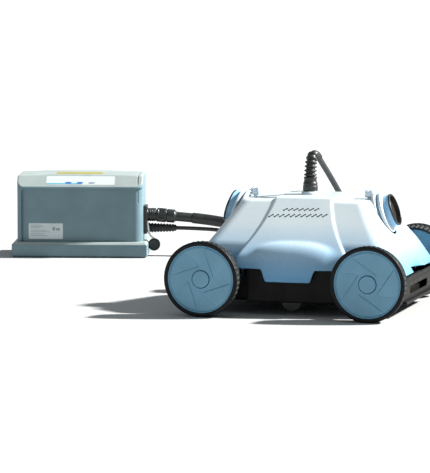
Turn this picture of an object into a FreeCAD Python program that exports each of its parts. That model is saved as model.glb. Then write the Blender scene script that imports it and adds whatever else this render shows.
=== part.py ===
import FreeCAD, Part
import math
import os
import re
import Sketcher
from FreeCAD import Placement, Rotation, Vector

# A jet-driven robotic pool cleaner with its floating cable and supply box, in millimetres.
# The origin is on the floor under the middle of the robot. +X is the front, +Z is up.

DIMENSIONS = {
    # wheels and axles
    "wheel_rad": 62.5, "wheel_wide": 38, "rim_rad": 56, "rim_wall": 3, "hub_rad": 14,
    "wheel_inner_y": 157, "wheel_base_half": 140, "axle_rad": 6, "run_gap": 0.05, "cap_rad": 13.8,
    # shell
    "wall": 3, "top_z": 186, "top_half_x": 105, "top_half_y": 60,
    "mid_z": 113, "mid_half_x": 145, "mid_half_y": 110,
    "low_z": 70, "low_half_x": 181, "low_half_y": 87,
    "wing_top_z": 187.5, "wing_top_x": 45, "crease_z": 90, "wing_low_x": 89, "wing_y": 150,
    "skirt_z": 77, "tab_z": 57, "tab_top_x": 45, "tab_low_x": 34, "tab_wall": 3,
    "blister_x": 72, "blister_y": 44, "blister_z": 41, "blister_mid_y": 111, "blister_mid_z": 84,
    # nozzles
    "tube_rad": 27.5, "bore_rad": 24.5, "flange_rad": 35, "step_rad": 38, "seat_rad": 20.5,
    "tube_deep": 60, "tilt": 19, "mouth_x": 143, "mouth_z": 167, "flap_rad": 22.5,
    "knob_x": 98, "knob_half": 6, "knob_stem": 3, "entry_x": -3.5,
    # chassis
    "floor_z": 22, "floor_wall": 3, "hull_z": 66, "hull_x": 183, "hull_y": 128,
    "side_z": 90, "side_x": 76, "side_y": 144, "lid_x": 112, "lid_y": 84, "fit_gap": 0.3,
    "post_x": 160, "post_y": 75, "post_rad": 6, "post_split_z": 60, "post_top_z": 87, "screw_rad": 2,
    "slot_x": 18, "slot_y": 50, "latch_y": 98, "nose_x": 7, "nose_z": 6,
    # motor, pump and duct
    "can_rad": 34, "can_low_z": 50, "can_top_z": 90, "shaft_rad": 3, "rotor_rad": 20,
    "box_x": 36, "box_y": 32, "box_low_z": 98, "box_top_z": 158, "pump_rad": 26,
    # supply box, in its own frame
    "tray_x": 126, "tray_y": 67.5, "tray_z": 26, "case_x": 118.5, "case_y": 57.5, "case_z": 156,
    "brow_y": 24, "brow_z": 24, "plug_y": -12, "plug_z": 77, "mains_z": 52, "flange_wide": 7,
    "barrel_long": 16, "tail_long": 67, "gland_long": 54, "droop": 5, "label_long": 128, "label_tall": 17,
    "label_thin": 0.4,
    # cords
    "cable_rad": 5, "lead_rad": 3.7, "coil_rad": 90, "coil_half": 20, "small_coil_rad": 40.5,
    "small_coil_half": 7.6, "small_coil_tall": 22.5, "tie": 1,
}

doc = FreeCAD.newDocument("pool_cleaner")
sheet = doc.addObject("Spreadsheet::Sheet", "Dim")
for row, (alias, value) in enumerate(DIMENSIONS.items(), 1):
    sheet.set(f"A{row}", alias)
    sheet.set(f"B{row}", str(value))
    sheet.setAlias(f"B{row}", alias)
doc.recompute()


def dim(alias):
    """The value of one cell of the sheet."""
    return float(sheet.get(alias))


def formula(text):
    """A formula whose dimension names point at the sheet."""
    return re.sub(r"[a-z][a-z_]*", lambda m: "Dim." + m.group() if m.group() in DIMENSIONS else m.group(),
                  str(text))


def place(item, x="0", y="0", z="0", turn=None):
    """Puts an object at a bound position, turned by a fixed rotation."""
    item.Placement = Placement(Vector(), turn or Rotation())
    for axis, text in (("x", x), ("y", y), ("z", z)):
        item.setExpression(f"Placement.Base.{axis}", formula(text))
    return item


# Rotations that lay an upright piece along another axis
TO_NEAR = Rotation(Vector(1, 0, 0), 90)
TO_FAR = Rotation(Vector(1, 0, 0), -90)
NOZZLE_TURN = {1: Rotation(Vector(0, 1, 0), 90 - dim("tilt")),
               -1: Rotation(Vector(0, 1, 0), dim("tilt") - 90)}


def block(x, y, z, name="block"):
    """A box between bound limits, each given as a (low, high) pair."""
    item = doc.addObject("Part::Box", name)
    for side, (low, high) in (("Length", x), ("Width", y), ("Height", z)):
        item.setExpression(side, formula(f"({high}) - ({low})"))
    return place(item, x[0], y[0], z[0])


def block_about(half_x, half_y, z, name="block"):
    """A box centred on the Z axis."""
    return block((f"-({half_x})", half_x), (f"-({half_y})", half_y), z, name)


def rod(radius, length, x="0", y="0", z="0", turn=None, name="rod"):
    """A bound cylinder, upright unless it is turned."""
    item = doc.addObject("Part::Cylinder", name)
    item.setExpression("Radius", formula(radius))
    item.setExpression("Height", formula(length))
    return place(item, x, y, z, turn)


def joined(pieces, name="joined"):
    """One solid made of several."""
    item = doc.addObject("Part::MultiFuse", name)
    item.Shapes = pieces
    item.Refine = True
    return item


def cut(base, tools, name="cut"):
    """A solid with others taken out of it."""
    item = doc.addObject("Part::Cut", name)
    item.Base = base
    item.Tool = tools[0] if len(tools) == 1 else joined(tools)
    item.Refine = True
    return item


def group(pieces, name):
    """Identical loose solids kept as one sub-part."""
    item = doc.addObject("Part::Compound", name)
    item.Links = pieces
    return item


def outline(body, plane, corners, offset="0"):
    """A closed sketch of straight lines whose corners are bound to the sheet."""
    sketch = body.newObject("Sketcher::SketchObject", "outline")
    origin_plane = [item for item in body.Origin.OriginFeatures if item.Role == plane][0]
    sketch.AttachmentSupport = [(origin_plane, "")]
    sketch.MapMode = "FlatFace"
    sketch.setExpression("AttachmentOffset.Base.z", formula(offset))
    count = len(corners)
    start = [Vector(math.cos(6.28 * k / count), math.sin(6.28 * k / count), 0) for k in range(count)]
    for k in range(count):
        sketch.addGeometry(Part.LineSegment(start[k], start[(k + 1) % count]), False)
    for k in range(count):
        sketch.addConstraint(Sketcher.Constraint("Coincident", k, 2, (k + 1) % count, 1))
    for k, (across, along) in enumerate(corners):
        for kind, text, first in (("DistanceX", across, start[k].x), ("DistanceY", along, start[k].y)):
            number = sketch.addConstraint(Sketcher.Constraint(kind, -1, 1, k, 1, first))
            sketch.setExpression(f"Constraints[{number}]", formula(text))
    return sketch


def turned(corners, name="turned"):
    """A body turned about its Z axis from (radius, height) corners."""
    body = doc.addObject("PartDesign::Body", name)
    sketch = outline(body, "XZ_Plane", corners)
    feature = body.newObject("PartDesign::Revolution", "turning")
    feature.Profile = sketch
    feature.ReferenceAxis = (sketch, ["V_Axis"])
    feature.Angle = 360
    return body


def frame_corners(half_x, half_y):
    """The corners of a rectangle centred on the origin."""
    low_x, low_y = f"-({half_x})", f"-({half_y})"
    return [(low_x, low_y), (half_x, low_y), (half_x, half_y), (low_x, half_y)]


def add_loft(body, kind, levels):
    """A ruled loft through rectangles given as (height, half length, half width)."""
    sketches = [outline(body, "XY_Plane", frame_corners(x, y), z) for z, x, y in levels]
    feature = body.newObject(kind, "loft")
    feature.Profile = sketches[0]
    feature.Sections = sketches[1:]
    feature.Ruled = True
    return feature


def padded(body, corners, low, high, kind="PartDesign::Pad"):
    """A prism on a level sketch, between two bound heights."""
    feature = body.newObject(kind, "prism")
    feature.Profile = outline(body, "XY_Plane", corners, low)
    feature.setExpression("Length", formula(f"({high}) - ({low})"))
    feature.Reversed = kind == "PartDesign::Pocket"
    return feature


SUBPARTS = []


def subpart(item, node):
    """Names an object as a sub-part to write out."""
    item.Label = node
    SUBPARTS.append(item)
    return item


# ---------------------------------------------------------------- shell
def build_shell():
    """The hood: four sloping faces, a wide wing on each side, a tab, and a bulge over each tab."""
    body = doc.addObject("PartDesign::Body", "hood")
    main = [("low_z", "low_half_x", "low_half_y"), ("mid_z", "mid_half_x", "mid_half_y"),
            ("top_z", "top_half_x", "top_half_y")]
    wing = [("skirt_z", "wing_low_x", "wing_y"), ("crease_z", "wing_low_x", "wing_y"),
            ("wing_top_z", "wing_top_x", "top_half_y")]
    add_loft(body, "PartDesign::AdditiveLoft", main)
    add_loft(body, "PartDesign::AdditiveLoft", wing)
    for levels in (main, wing):
        hollow = [(z, f"{x} - wall", f"{y} - wall") for z, x, y in levels]
        hollow[0] = (f"{levels[0][0]} - 1", hollow[0][1], hollow[0][2])
        hollow[-1] = (f"{levels[-1][0]} - wall", hollow[-1][1], hollow[-1][2])
        add_loft(body, "PartDesign::SubtractiveLoft", hollow)
    tabs = []
    domes = []
    hollows = []
    for side in (-1, 1):
        tab = doc.addObject("PartDesign::Body", "tab")
        edge = [("-tab_low_x", "tab_z"), ("tab_low_x", "tab_z"), ("tab_top_x", "skirt_z + 4"),
                ("-tab_top_x", "skirt_z + 4")]
        pad = tab.newObject("PartDesign::Pad", "prism")
        pad.Profile = outline(tab, "XZ_Plane", edge)
        pad.setExpression("Length", formula("tab_wall"))
        tabs.append(place(tab, "0", "wing_y" if side > 0 else "-wing_y + tab_wall"))
        for rim, pieces in (("0", domes), ("wall", hollows)):
            dome = doc.addObject("Part::Ellipsoid", "dome")
            dome.setExpression("Radius2", formula(f"blister_x - {rim}"))
            dome.setExpression("Radius3", formula(f"blister_y - {rim}"))
            dome.setExpression("Radius1", formula(f"blister_z - {rim}"))
            pieces.append(place(dome, "0", f"{side} * blister_mid_y", "blister_mid_z"))
    below = block_about("200", "200", ("0", "skirt_z"), "below")
    inside = doc.addObject("PartDesign::Body", "inside")
    add_loft(inside, "PartDesign::AdditiveLoft", [
        ("0", "wing_low_x - wall", "wing_y - wall"), ("crease_z", "wing_low_x - wall", "wing_y - wall"),
        ("wing_top_z - wall", "wing_top_x - wall", "top_half_y - wall")])
    bulges = cut(joined(domes), [joined(hollows), below, inside], "bulges")
    corners = [(i, j) for i in (-1, 1) for j in (-1, 1)]
    posts = [rod("post_rad", "post_top_z - post_split_z", f"{i} * post_x", f"{j} * post_y", "post_split_z")
             for i, j in corners]
    holes = [rod("screw_rad + 0.1", "22", f"{i} * post_x", f"{j} * post_y", "post_split_z - 1")
             for i, j in corners]
    for end in (-1, 1):
        for radius, start, stop in (("step_rad + 0.4", -26, 40), ("tube_rad + fit_gap", -62, -20)):
            holes.append(along_nozzle(rod(radius, str(stop - start)), end, start))
        holes.append(rod("knob_stem + fit_gap", "20", f"{end} * knob_x", "0", "170"))
    holes.append(rod("6.2", "20", "entry_x", "0", "170"))
    subpart(cut(joined([body, bulges] + tabs + posts), holes, "shell"), "top_shell")


def along_nozzle(item, end, start):
    """Lays an upright piece on the jet axis, with its foot at a distance from the mouth."""
    tilt = f"cos(tilt * 1deg) * ({start})", f"sin(tilt * 1deg) * ({start})"
    return place(item, f"{end} * (mouth_x + {tilt[0]})", "0", f"mouth_z + {tilt[1]}", NOZZLE_TURN[end])


# ---------------------------------------------------------------- nozzles and their flaps
def build_nozzles():
    """A stepped outlet tube at each end, with a seat for its flap and a knob that locks it."""
    for end, word in ((1, "front"), (-1, "rear")):
        tube = turned([
            ("bore_rad", "0"), ("tube_rad", "0"), ("tube_rad", "-10"), ("flange_rad", "-10"),
            ("flange_rad", "-15"), ("step_rad - 2", "-15"), ("step_rad - 2", "-19"), ("step_rad", "-19"),
            ("step_rad", "-24"), ("tube_rad", "-24"), ("tube_rad", "-tube_deep"), ("bore_rad", "-tube_deep"),
            ("bore_rad", "-12"), ("seat_rad", "-12"), ("seat_rad", "-9.5"), ("bore_rad", "-9.5")], "tube")
        subpart(along_nozzle(tube, end, 0), f"{word}_nozzle")
        flap = rod("flap_rad", "2", name="flap")
        subpart(along_nozzle(flap, end, -9.2), f"{word}_jet_flap")
        grip = block_about("knob_half", "knob_half", ("top_z + fit_gap", "top_z + 12"))
        stem = rod("knob_stem", "3.7", z="top_z - 3.4")
        subpart(place(joined([grip, stem], "knob"), f"{end} * knob_x"), f"{word}_lock_knob")


# ---------------------------------------------------------------- cable entry on the robot
def build_cable_entry():
    """The collar moulded round the cable hole, and the nut that clamps the cable."""
    collar = turned([("6", "wing_top_z"), ("15", "wing_top_z"), ("14.5", "top_z + 8"), ("6", "top_z + 8")],
                    "collar")
    subpart(place(collar, "entry_x"), "cable_collar")
    nut = turned([("4.2", "top_z + 8"), ("12.6", "top_z + 8"), ("12.6", "top_z + 21"),
                  ("10.4", "top_z + 29"), ("10.4", "top_z + 32"), ("4.2", "top_z + 32")], "nut")
    subpart(place(nut, "entry_x"), "gland_nut")


# ---------------------------------------------------------------- chassis and filter lid
def build_chassis():
    """A tray with raised sides, axle bosses, screw posts and a nose at each end."""
    body = doc.addObject("PartDesign::Body", "tray")

    def plan(inset):
        x, y, wide_x, wide_y = (f"{word} - {inset}" for word in ("hull_x", "hull_y", "side_x", "side_y"))
        return [(f"-({x})", f"-({y})"), (f"-({wide_x})", f"-({y})"), (f"-({wide_x})", f"-({wide_y})"),
                (wide_x, f"-({wide_y})"), (wide_x, f"-({y})"), (x, f"-({y})"), (x, y), (wide_x, y),
                (wide_x, wide_y), (f"-({wide_x})", wide_y), (f"-({wide_x})", y), (f"-({x})", y)]

    padded(body, plan("0"), "floor_z", "hull_z")
    padded(body, frame_corners("side_x", "side_y"), "floor_z", "side_z")
    padded(body, plan("wall"), "floor_z + floor_wall", "hull_z + 0.01", "PartDesign::Pocket")
    padded(body, frame_corners("side_x - wall", "side_y - wall"), "hull_z - 1", "side_z + 1",
           "PartDesign::Pocket")
    padded(body, frame_corners("lid_x", "lid_y"), "floor_z - 1", "floor_z + floor_wall + 1",
           "PartDesign::Pocket")
    window = block_about("side_x + 1", "side_y - wall - 8", ("hull_z", "side_z + 1"), "window")
    axles = [(i, j) for i in (-1, 1) for j in (-1, 1)]
    bosses = [rod("11", "wheel_inner_y - hull_y", f"{i} * wheel_base_half", f"{j} * (hull_y - 2)",
                  "wheel_rad", TO_FAR if j > 0 else TO_NEAR) for i, j in axles]
    posts = [rod("post_rad", "post_split_z - floor_z - 1", f"{i} * post_x", f"{j} * post_y", "floor_z + 1")
             for i, j in axles]
    noses = [block((f"{end} * hull_x - nose_x", f"{end} * hull_x + nose_x"), ("-120", "120"),
                   ("floor_z", "floor_z + nose_z"), "nose") for end in (-1, 1)]
    holes = [rod("axle_rad", "400", f"{i} * wheel_base_half", "-200", "wheel_rad", TO_FAR) for i in (-1, 1)]
    holes += [rod("screw_rad + 0.1", "60", f"{i} * post_x", f"{j} * post_y", "floor_z - 1") for i, j in axles]
    holes += [rod("4.3", "7", f"{i} * post_x", f"{j} * post_y", "floor_z - 1") for i, j in axles]
    subpart(cut(joined([body] + bosses + posts + noses), holes + [window], "chassis"), "base_chassis")


def build_lid():
    """The lid under the filter, its two intake flaps, the filter itself and the two latches."""
    lid = block_about("lid_x - fit_gap", "lid_y - fit_gap", ("floor_z", "floor_z + 4"), "lid")
    slot = block_about("slot_x", "slot_y", ("floor_z - 1", "floor_z + 5"), "slot")
    subpart(cut(lid, [slot], "lid"), "filter_lid")
    for end, word in ((1, "front"), (-1, "rear")):
        low, high = ("0.5", "slot_x - 0.5") if end > 0 else ("0.5 - slot_x", "-0.5")
        subpart(block((low, high), ("1 - slot_y", "slot_y - 1"), ("floor_z", "floor_z + 2"), "flap"),
                f"{word}_intake_flap")
    outer = block_about("106", "80", ("floor_z + 4", "floor_z + 8"))
    inner = block_about("102", "76", ("floor_z + 3", "floor_z + 9"))
    subpart(cut(outer, [inner], "frame"), "filter_frame")
    skin = cut(block_about("106", "80", ("30", "74")), [rod("can_rad + 2", "40", z="48")])
    room = cut(block_about("104.5", "78.5", ("29", "72.5")), [rod("can_rad + 3.5", "40", z="46.5")])
    subpart(cut(skin, [room], "bag"), "filter_bag")
    for side, word in ((-1, "near"), (1, "far")):
        plate_y = ("-20", "12") if side > 0 else ("-12", "20")
        plate = block(("-26", "8"), plate_y, ("floor_z - 2.6", "floor_z - 0.2"))
        tab = rod("17", "4", "-9", f"{side} * 6", "floor_z - 1", TO_NEAR if side > 0 else TO_FAR)
        above = block(("-30", "12"), ("-30", "30"), ("floor_z - 0.2", "floor_z + 20"))
        latch = cut(joined([plate, tab]), [above], "latch")
        subpart(place(latch, "0", f"{side} * latch_y"), f"{word}_lid_latch")


# ---------------------------------------------------------------- wheels
def build_wheels():
    """Each wheel is a dished disc with ribs in a grooved tyre, running on a fixed axle."""
    rods = []
    caps = []
    for end, end_word in ((1, "front"), (-1, "rear")):
        rods.append(rod("axle_rad", "2 * (wheel_inner_y + 33)", f"{end} * wheel_base_half",
                        "-wheel_inner_y - 33", "wheel_rad", TO_FAR))
        for side, side_word in ((-1, "near"), (1, "far")):
            outward = TO_FAR if side > 0 else TO_NEAR
            spot = f"{end} * wheel_base_half", f"{side} * wheel_inner_y", "wheel_rad", outward
            disc = turned([
                ("axle_rad + run_gap", "2"), ("hub_rad", "2"), ("hub_rad", "30"),
                ("rim_rad - rim_wall", "30"), ("rim_rad - rim_wall", "2"),
                ("rim_rad", "2"), ("rim_rad", "wheel_wide - 1"),
                ("hub_rad + 3", "34.5"), ("hub_rad + 0.5", "34.5"), ("hub_rad + 0.5", "31"),
                ("axle_rad + run_gap", "31")], "disc")
            ribs = []
            for k in range(6):
                rib = group([block(("hub_rad - 1", "rim_rad - 2"), ("-1.2", "1.2"), ("12", "31"))], "rib")
                rib.Placement.Rotation = Rotation(Vector(0, 0, 1), 60 * k)
                ribs.append(rib)
            subpart(place(joined([disc] + ribs, "wheel"), *spot), f"{end_word}_{side_word}_wheel")
            ring = turned([("rim_rad", "0"), ("wheel_rad - 1.5", "0"), ("wheel_rad", "3"),
                           ("wheel_rad", "wheel_wide - 3"), ("wheel_rad - 1.5", "wheel_wide"),
                           ("rim_rad", "wheel_wide")], "ring")
            subpart(place(ring, *spot), f"{end_word}_{side_word}_tyre")
            cap = turned([("0", "36.5"), ("cap_rad", "36.5"), ("cap_rad", "31.8"), ("axle_rad", "31.8"),
                          ("axle_rad", "33"), ("0", "33")], "cap")
            caps.append(place(cap, *spot))
    subpart(group(rods, "rods"), "axles")
    subpart(group(caps, "caps"), "axle_caps")


# ---------------------------------------------------------------- motor, pump, duct and the rest inside
def build_drive():
    """The sealed motor with its rotor, shaft, bearings and seal, and the pump screw above it."""
    can = turned([("0", "can_low_z"), ("can_rad", "can_low_z"), ("can_rad", "can_top_z"),
                  ("can_rad - wall", "can_top_z"), ("can_rad - wall", "can_low_z + wall"),
                  ("0", "can_low_z + wall")], "can")
    pocket = block(("-24", "24"), ("28", "62"), ("76", "can_top_z"))
    pocket_room = block(("-22", "22"), ("30", "60"), ("78", "can_top_z + 1"))
    can_room = rod("can_rad - wall", "50", z="can_low_z + wall")
    seat = cut(rod("8", "5", z="can_low_z + wall"), [rod("shaft_rad + run_gap", "9", z="can_low_z + 4")])
    subpart(joined([cut(joined([can, pocket]), [pocket_room, can_room]), seat], "motor_can"), "motor_housing")
    lid = joined([rod("can_rad", "3", z="can_top_z"),
                  block(("-24", "24"), ("28", "62"), ("can_top_z", "can_top_z + 3")),
                  block_about("6", "side_y - wall - 1", ("can_top_z", "can_top_z + 3"))])
    holes = [rod("7", "9", z="can_top_z - 1"), rod("4.4", "9", "0", "48", "can_top_z - 1")]
    subpart(cut(lid, holes, "motor_lid"), "motor_cap")
    subpart(cut(rod("rotor_rad", "26", z="can_low_z + 9"), [rod("shaft_rad", "40", z="can_low_z")], "rotor"),
            "motor_rotor")
    subpart(rod("shaft_rad", "56", z="can_low_z + 4.2", name="shaft"), "motor_shaft")
    low = turned([("shaft_rad + run_gap", "can_low_z + 8.2"), ("7.5", "can_low_z + 8.2"),
                  ("7.5", "can_low_z + 8.8"), ("shaft_rad + run_gap", "can_low_z + 8.8")], "bearing")
    high = turned([("shaft_rad + run_gap", "can_top_z - 4"), ("8", "can_top_z - 4"), ("8", "can_top_z"),
                   ("shaft_rad + run_gap", "can_top_z")], "bearing")
    subpart(group([low, high], "bearings"), "shaft_bearings")
    subpart(turned([("shaft_rad + run_gap", "can_top_z"), ("7", "can_top_z"), ("7", "can_top_z + 4"),
                    ("shaft_rad + run_gap", "can_top_z + 4")], "seal"), "shaft_seal")
    hub = rod("8", "12", z="can_top_z + 8.5")
    blades = []
    for k in range(3):
        blade = doc.addObject("Part::Box", "blade")
        blade.Length = 17
        blade.Width = 2
        blade.Height = 11
        turn = Placement(Vector(0, 0, dim("can_top_z") + 9), Rotation(Vector(0, 0, 1), 120 * k))
        blade.Placement = turn.multiply(Placement(Vector(6.5, -1, 0), Rotation(Vector(1, 0, 0), 35)))
        blades.append(blade)
    subpart(cut(joined([hub] + blades), [rod("shaft_rad", "60.2", z="can_low_z")], "screw"), "impeller")


def build_duct():
    """The pump box with a pipe to each nozzle, and the flap that turns the jet one way or the other."""
    pipes = []
    bores = []
    for end in (-1, 1):
        pipes.append(along_nozzle(rod("tube_rad", "54"), end, "-tube_deep - 54"))
        bores.append(along_nozzle(rod("bore_rad", "60"), end, "-tube_deep - 58"))
    legs = [rod("3", "6", f"{i} * 28", f"{j} * 14", "can_top_z + 3") for i in (-1, 1) for j in (-1, 1)]
    box = block_about("box_x", "box_y", ("box_low_z", "box_top_z"))
    room = block_about("box_x - wall", "box_y - wall", ("box_low_z + wall", "box_top_z - wall"))
    mouth = rod("pump_rad", "6", z="box_low_z - 1")
    subpart(cut(joined([box] + pipes + legs), [room, mouth] + bores, "duct"), "jet_duct")
    vane = block_about("1.5", "box_y - wall - 1.5", ("box_top_z - 36", "box_top_z - 5"))
    subpart(vane, "diverter_flap")


def build_inside():
    """The control board, the foam floats and the screws that hold the hood."""
    subpart(block(("-20", "20"), ("37", "58"), ("78", "83"), "board"), "control_board")
    floats = [block((f"{i} * 49 - 37", f"{i} * 49 + 37"), (f"{j} * 46.5 - 9", f"{j} * 46.5 + 9"),
                    ("146", "176")) for i in (-1, 1) for j in (-1, 1)]
    subpart(group(floats, "foam"), "float_blocks")
    screws = []
    for i in (-1, 1):
        for j in (-1, 1):
            head = rod("4", "3", f"{i} * post_x", f"{j} * post_y", "floor_z + 3")
            shank = rod("screw_rad", "52", f"{i} * post_x", f"{j} * post_y", "floor_z + 5")
            screws.append(joined([head, shank]))
    subpart(group(screws, "screws"), "shell_screws")


# ---------------------------------------------------------------- supply box
SUPPLY_TURN = Rotation(Vector(0, 0, 1), 13)
SUPPLY_SPOT = Vector(-612.3, 649.5, 0)
TO_SIDE = Rotation(Vector(0, 1, 0), 90)
TO_DROOP = Rotation(Vector(0, 1, 0), 90 + dim("droop"))


def on_supply(item, node):
    """Moves an object from the supply box's own frame to its place, and names it."""
    moved = group([item], "supply")
    moved.Placement = Placement(SUPPLY_SPOT, SUPPLY_TURN)
    return subpart(moved, node)


def build_supply():
    """The supply box with its works, socket, cap and coupling, built level and square in its own frame."""
    outer = block_about("tray_x", "tray_y", ("0", "tray_z"))
    room = block_about("tray_x - wall", "tray_y - wall", ("wall", "tray_z - wall"))
    deck = block_about("case_x - wall - 1", "case_y - wall - 1", ("tray_z - wall - 1", "tray_z + 1"))
    on_supply(cut(outer, [room, deck]), "supply_base")

    def case(inset, name):
        body = doc.addObject("PartDesign::Body", name)
        pad = body.newObject("PartDesign::Pad", "prism")
        front, back, top = f"case_y - {inset}", f"{inset} - case_y", f"case_z - {inset}"
        low = "tray_z" if inset == "0" else "tray_z - 1"
        pad.Profile = outline(body, "YZ_Plane", [
            (f"-({front})", low), (f"-({back})", low), (f"-({back})", top), (f"-({front}) + brow_y", top),
            (f"-({front})", f"{top} - brow_z")])
        pad.setExpression("Length", formula(f"2 * (case_x - {inset})"))
        return place(body, f"{inset} - case_x")

    cable_hole = rod("8", "20", "case_x - 10", "plug_y", "plug_z", TO_SIDE)
    lead_hole = rod("3.7", "20", "case_x - 10", "plug_y", "mains_z", TO_SIDE)
    on_supply(cut(case("0", "case"), [case("wall", "case_room"), cable_hole, lead_hole]), "supply_cover")
    on_supply(block(("-85", "5"), ("-35", "35"), ("wall", "wall + 72")), "supply_transformer")
    board = block(("20", "100"), ("-40", "40"), ("10", "12"))
    studs = [rod("3", "7", f"60 + {i} * 35", f"{j} * 35", "wall") for i in (-1, 1) for j in (-1, 1)]
    parts = [block(("40", "60"), ("-20", "10"), ("12", "34")), rod("9", "30", "80", "-20", "12")]
    on_supply(joined([board] + studs + parts), "supply_board")
    slope = math.degrees(math.atan2(dim("brow_y"), dim("brow_z")))
    stripe = doc.addObject("Part::Box", "label")
    for side, word in (("Length", "label_long"), ("Width", "label_thin"), ("Height", "label_tall")):
        stripe.setExpression(side, formula(word))
    lean = Rotation(Vector(1, 0, 0), -slope)
    start = Vector(-62, 7 - dim("case_y"), dim("case_z") - dim("brow_z") + 7)
    sink = Placement(Vector(0, -dim("label_thin"), 0), Rotation())
    stripe.Placement = Placement(start, lean).multiply(sink)
    plate = block(("-102", "-38"), ("-case_y - label_thin", "-case_y"), ("30", "60"))
    sticker = block(("-38", "46"), ("brow_y - case_y + 2", "brow_y - case_y + 44"),
                    ("case_z", "case_z + label_thin"))
    on_supply(group([stripe, plate, sticker], "labels"), "supply_labels")
    flange = block(("case_x", "case_x + flange_wide"), ("plug_y - 18", "plug_y + 18"), ("40", "95"))
    barrel = rod("13", "barrel_long", "case_x + flange_wide", "plug_y", "plug_z", TO_SIDE)
    core = rod("8", "8", "case_x - 6", "plug_y", "plug_z", TO_SIDE)
    on_supply(joined([flange, barrel, core]), "output_socket")
    gland = turned([("0", "0"), ("10.4", "0"), ("10.4", "6"), ("9.6", "6"),
                    ("6.4", "gland_long"), ("0", "gland_long")], "gland")
    on_supply(place(gland, "case_x + flange_wide", "plug_y", "mains_z", TO_SIDE), "mains_gland")
    tail = turned([("0", "1"), ("11", "1"), ("11", "20"), ("12.6", "20"), ("12.6", "35"), ("9", "35"),
                   ("9", "tail_long"), ("0", "tail_long")], "tail")
    mate_x = "case_x + flange_wide + barrel_long"
    on_supply(place(tail, mate_x, "plug_y", "plug_z", TO_DROOP), "connector_body")
    ring = turned([("11 + run_gap", "1.5"), ("13.4", "1.5"), ("13.4", "19.5"), ("11 + run_gap", "19.5")],
                  "ring")
    on_supply(place(ring, mate_x, "plug_y", "plug_z", TO_DROOP), "connector_ring")
    lug = block(("case_x + flange_wide", "case_x + 20"), ("plug_y - 17", "plug_y - 14"), ("33", "42"))
    cap = rod("11.5", "12", "case_x + 19.5", "plug_y - 12", "24", TO_NEAR)
    on_supply(joined([lug, cap]), "socket_cap")


def supply_point(x, y, z):
    """A point of the supply box's own frame, in the part's frame."""
    return Placement(SUPPLY_SPOT, SUPPLY_TURN).multVec(Vector(x, y, z))


# ---------------------------------------------------------------- cords
def cord_path(points):
    """Straight runs joined by tangent arcs as large as the runs allow. Returns the wire and its radii."""
    edges = []
    radii = []
    last = points[0]
    for before, corner, after in zip(points, points[1:], points[2:]):
        back = (before - corner).normalize()
        ahead = (after - corner).normalize()
        turn = math.pi - back.getAngle(ahead)
        reach = 0.45 * min(before.distanceToPoint(corner), corner.distanceToPoint(after))
        radius = reach / math.tan(turn / 2)
        middle = (back + ahead).normalize()
        start = corner + back * reach
        stop = corner + ahead * reach
        crest = corner + middle * (radius / math.cos(turn / 2) - radius)
        edges.append(Part.LineSegment(last, start).toShape())
        edges.append(Part.Arc(start, crest, stop).toShape())
        radii.append(radius)
        last = stop
    edges.append(Part.LineSegment(last, points[-1]).toShape())
    return Part.Wire(edges), radii


def cord(points, radius, node):
    """A round cord along a route of points."""
    wire, radii = cord_path(points)
    ring = Part.Wire(Part.Circle(points[0], points[1] - points[0], radius).toShape())
    solid = wire.makePipeShell([ring], True, False, 1)
    if solid.Volume < 0:
        solid.reverse()
    expected = math.pi * radius ** 2 * wire.Length
    print(f"{node}: length {wire.Length:.1f}, radii {min(radii):.0f} to {max(radii):.0f},"
          f" volume ratio {solid.Volume / expected:.4f}")
    item = doc.addObject("Part::Feature", node)
    item.Shape = solid
    return subpart(item, node)


# The routes run along the centre of each cord. The cable leaves the boot towards the far side, falls behind
# the shell to the coil, and rises from the coil to the connector on the supply box.
BOOT_ROUTE = [Vector(-3.5, 0, 218), Vector(-3.5, 0, 246), Vector(-0.5, 20, 258), Vector(2.5, 33, 247.6)]
ROBOT_ROUTE = [Vector(2.5, 33, 247.6), Vector(7, 53, 231.6), Vector(19, 104, 187), Vector(28, 148, 146),
               Vector(34, 184, 108), Vector(35, 214, 74), Vector(24, 234, 50), Vector(-2, 238, 39),
               Vector(-32, 233, 36.4)]
COIL_SPOT = Vector(-63, 336, 1.2)
SMALL_COIL_SPOT = Vector(-25, 507, 1.2)
SOCKET_X = dim("case_x") + dim("flange_wide")
TAIL_FOOT = SOCKET_X + dim("barrel_long")
TAIL_X = TAIL_FOOT + dim("tail_long") * math.cos(math.radians(dim("droop")))
TAIL_Z = dim("plug_z") - dim("tail_long") * math.sin(math.radians(dim("droop")))
LEAD_X = SOCKET_X + dim("gland_long")
CONNECTOR_BEND = [supply_point(TAIL_X, dim("plug_y"), TAIL_Z),
                  supply_point(TAIL_X + 28, dim("plug_y"), TAIL_Z - 3), Vector(-345, 692, 63.5),
                  Vector(-305, 682, 58)]
SUPPLY_ROUTE = [Vector(-305, 682, 58), Vector(-265, 670, 51), Vector(-222, 640, 38), Vector(-190, 590, 21),
                Vector(-174, 530, 9), Vector(-172, 476, 5.2), Vector(-178, 420, 5.4), Vector(-184, 366, 5.2),
                Vector(-182, 322, 5.2), Vector(-169, 284, 5.2), Vector(-146, 252, 5.2),
                Vector(-116, 231, 5.2), Vector(-88, 224, 5.2)]
MAINS_ROUTE = [supply_point(LEAD_X, dim("plug_y"), dim("mains_z")),
               supply_point(LEAD_X + 42, dim("plug_y"), dim("mains_z") - 1), Vector(-350, 701, 47.5),
               Vector(-300, 709, 38), Vector(-250, 708, 22), Vector(-200, 696, 7), Vector(-148, 668, 3.9),
               Vector(-104, 626, 4.1), Vector(-76, 590, 5), Vector(-62, 558, 12), Vector(-65, 530, 19.7)]
PLUG_ROUTE = [Vector(21, 520, 4.2), Vector(22, 546, 4.2), Vector(20, 574, 8), Vector(14, 596, 10.5)]


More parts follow.
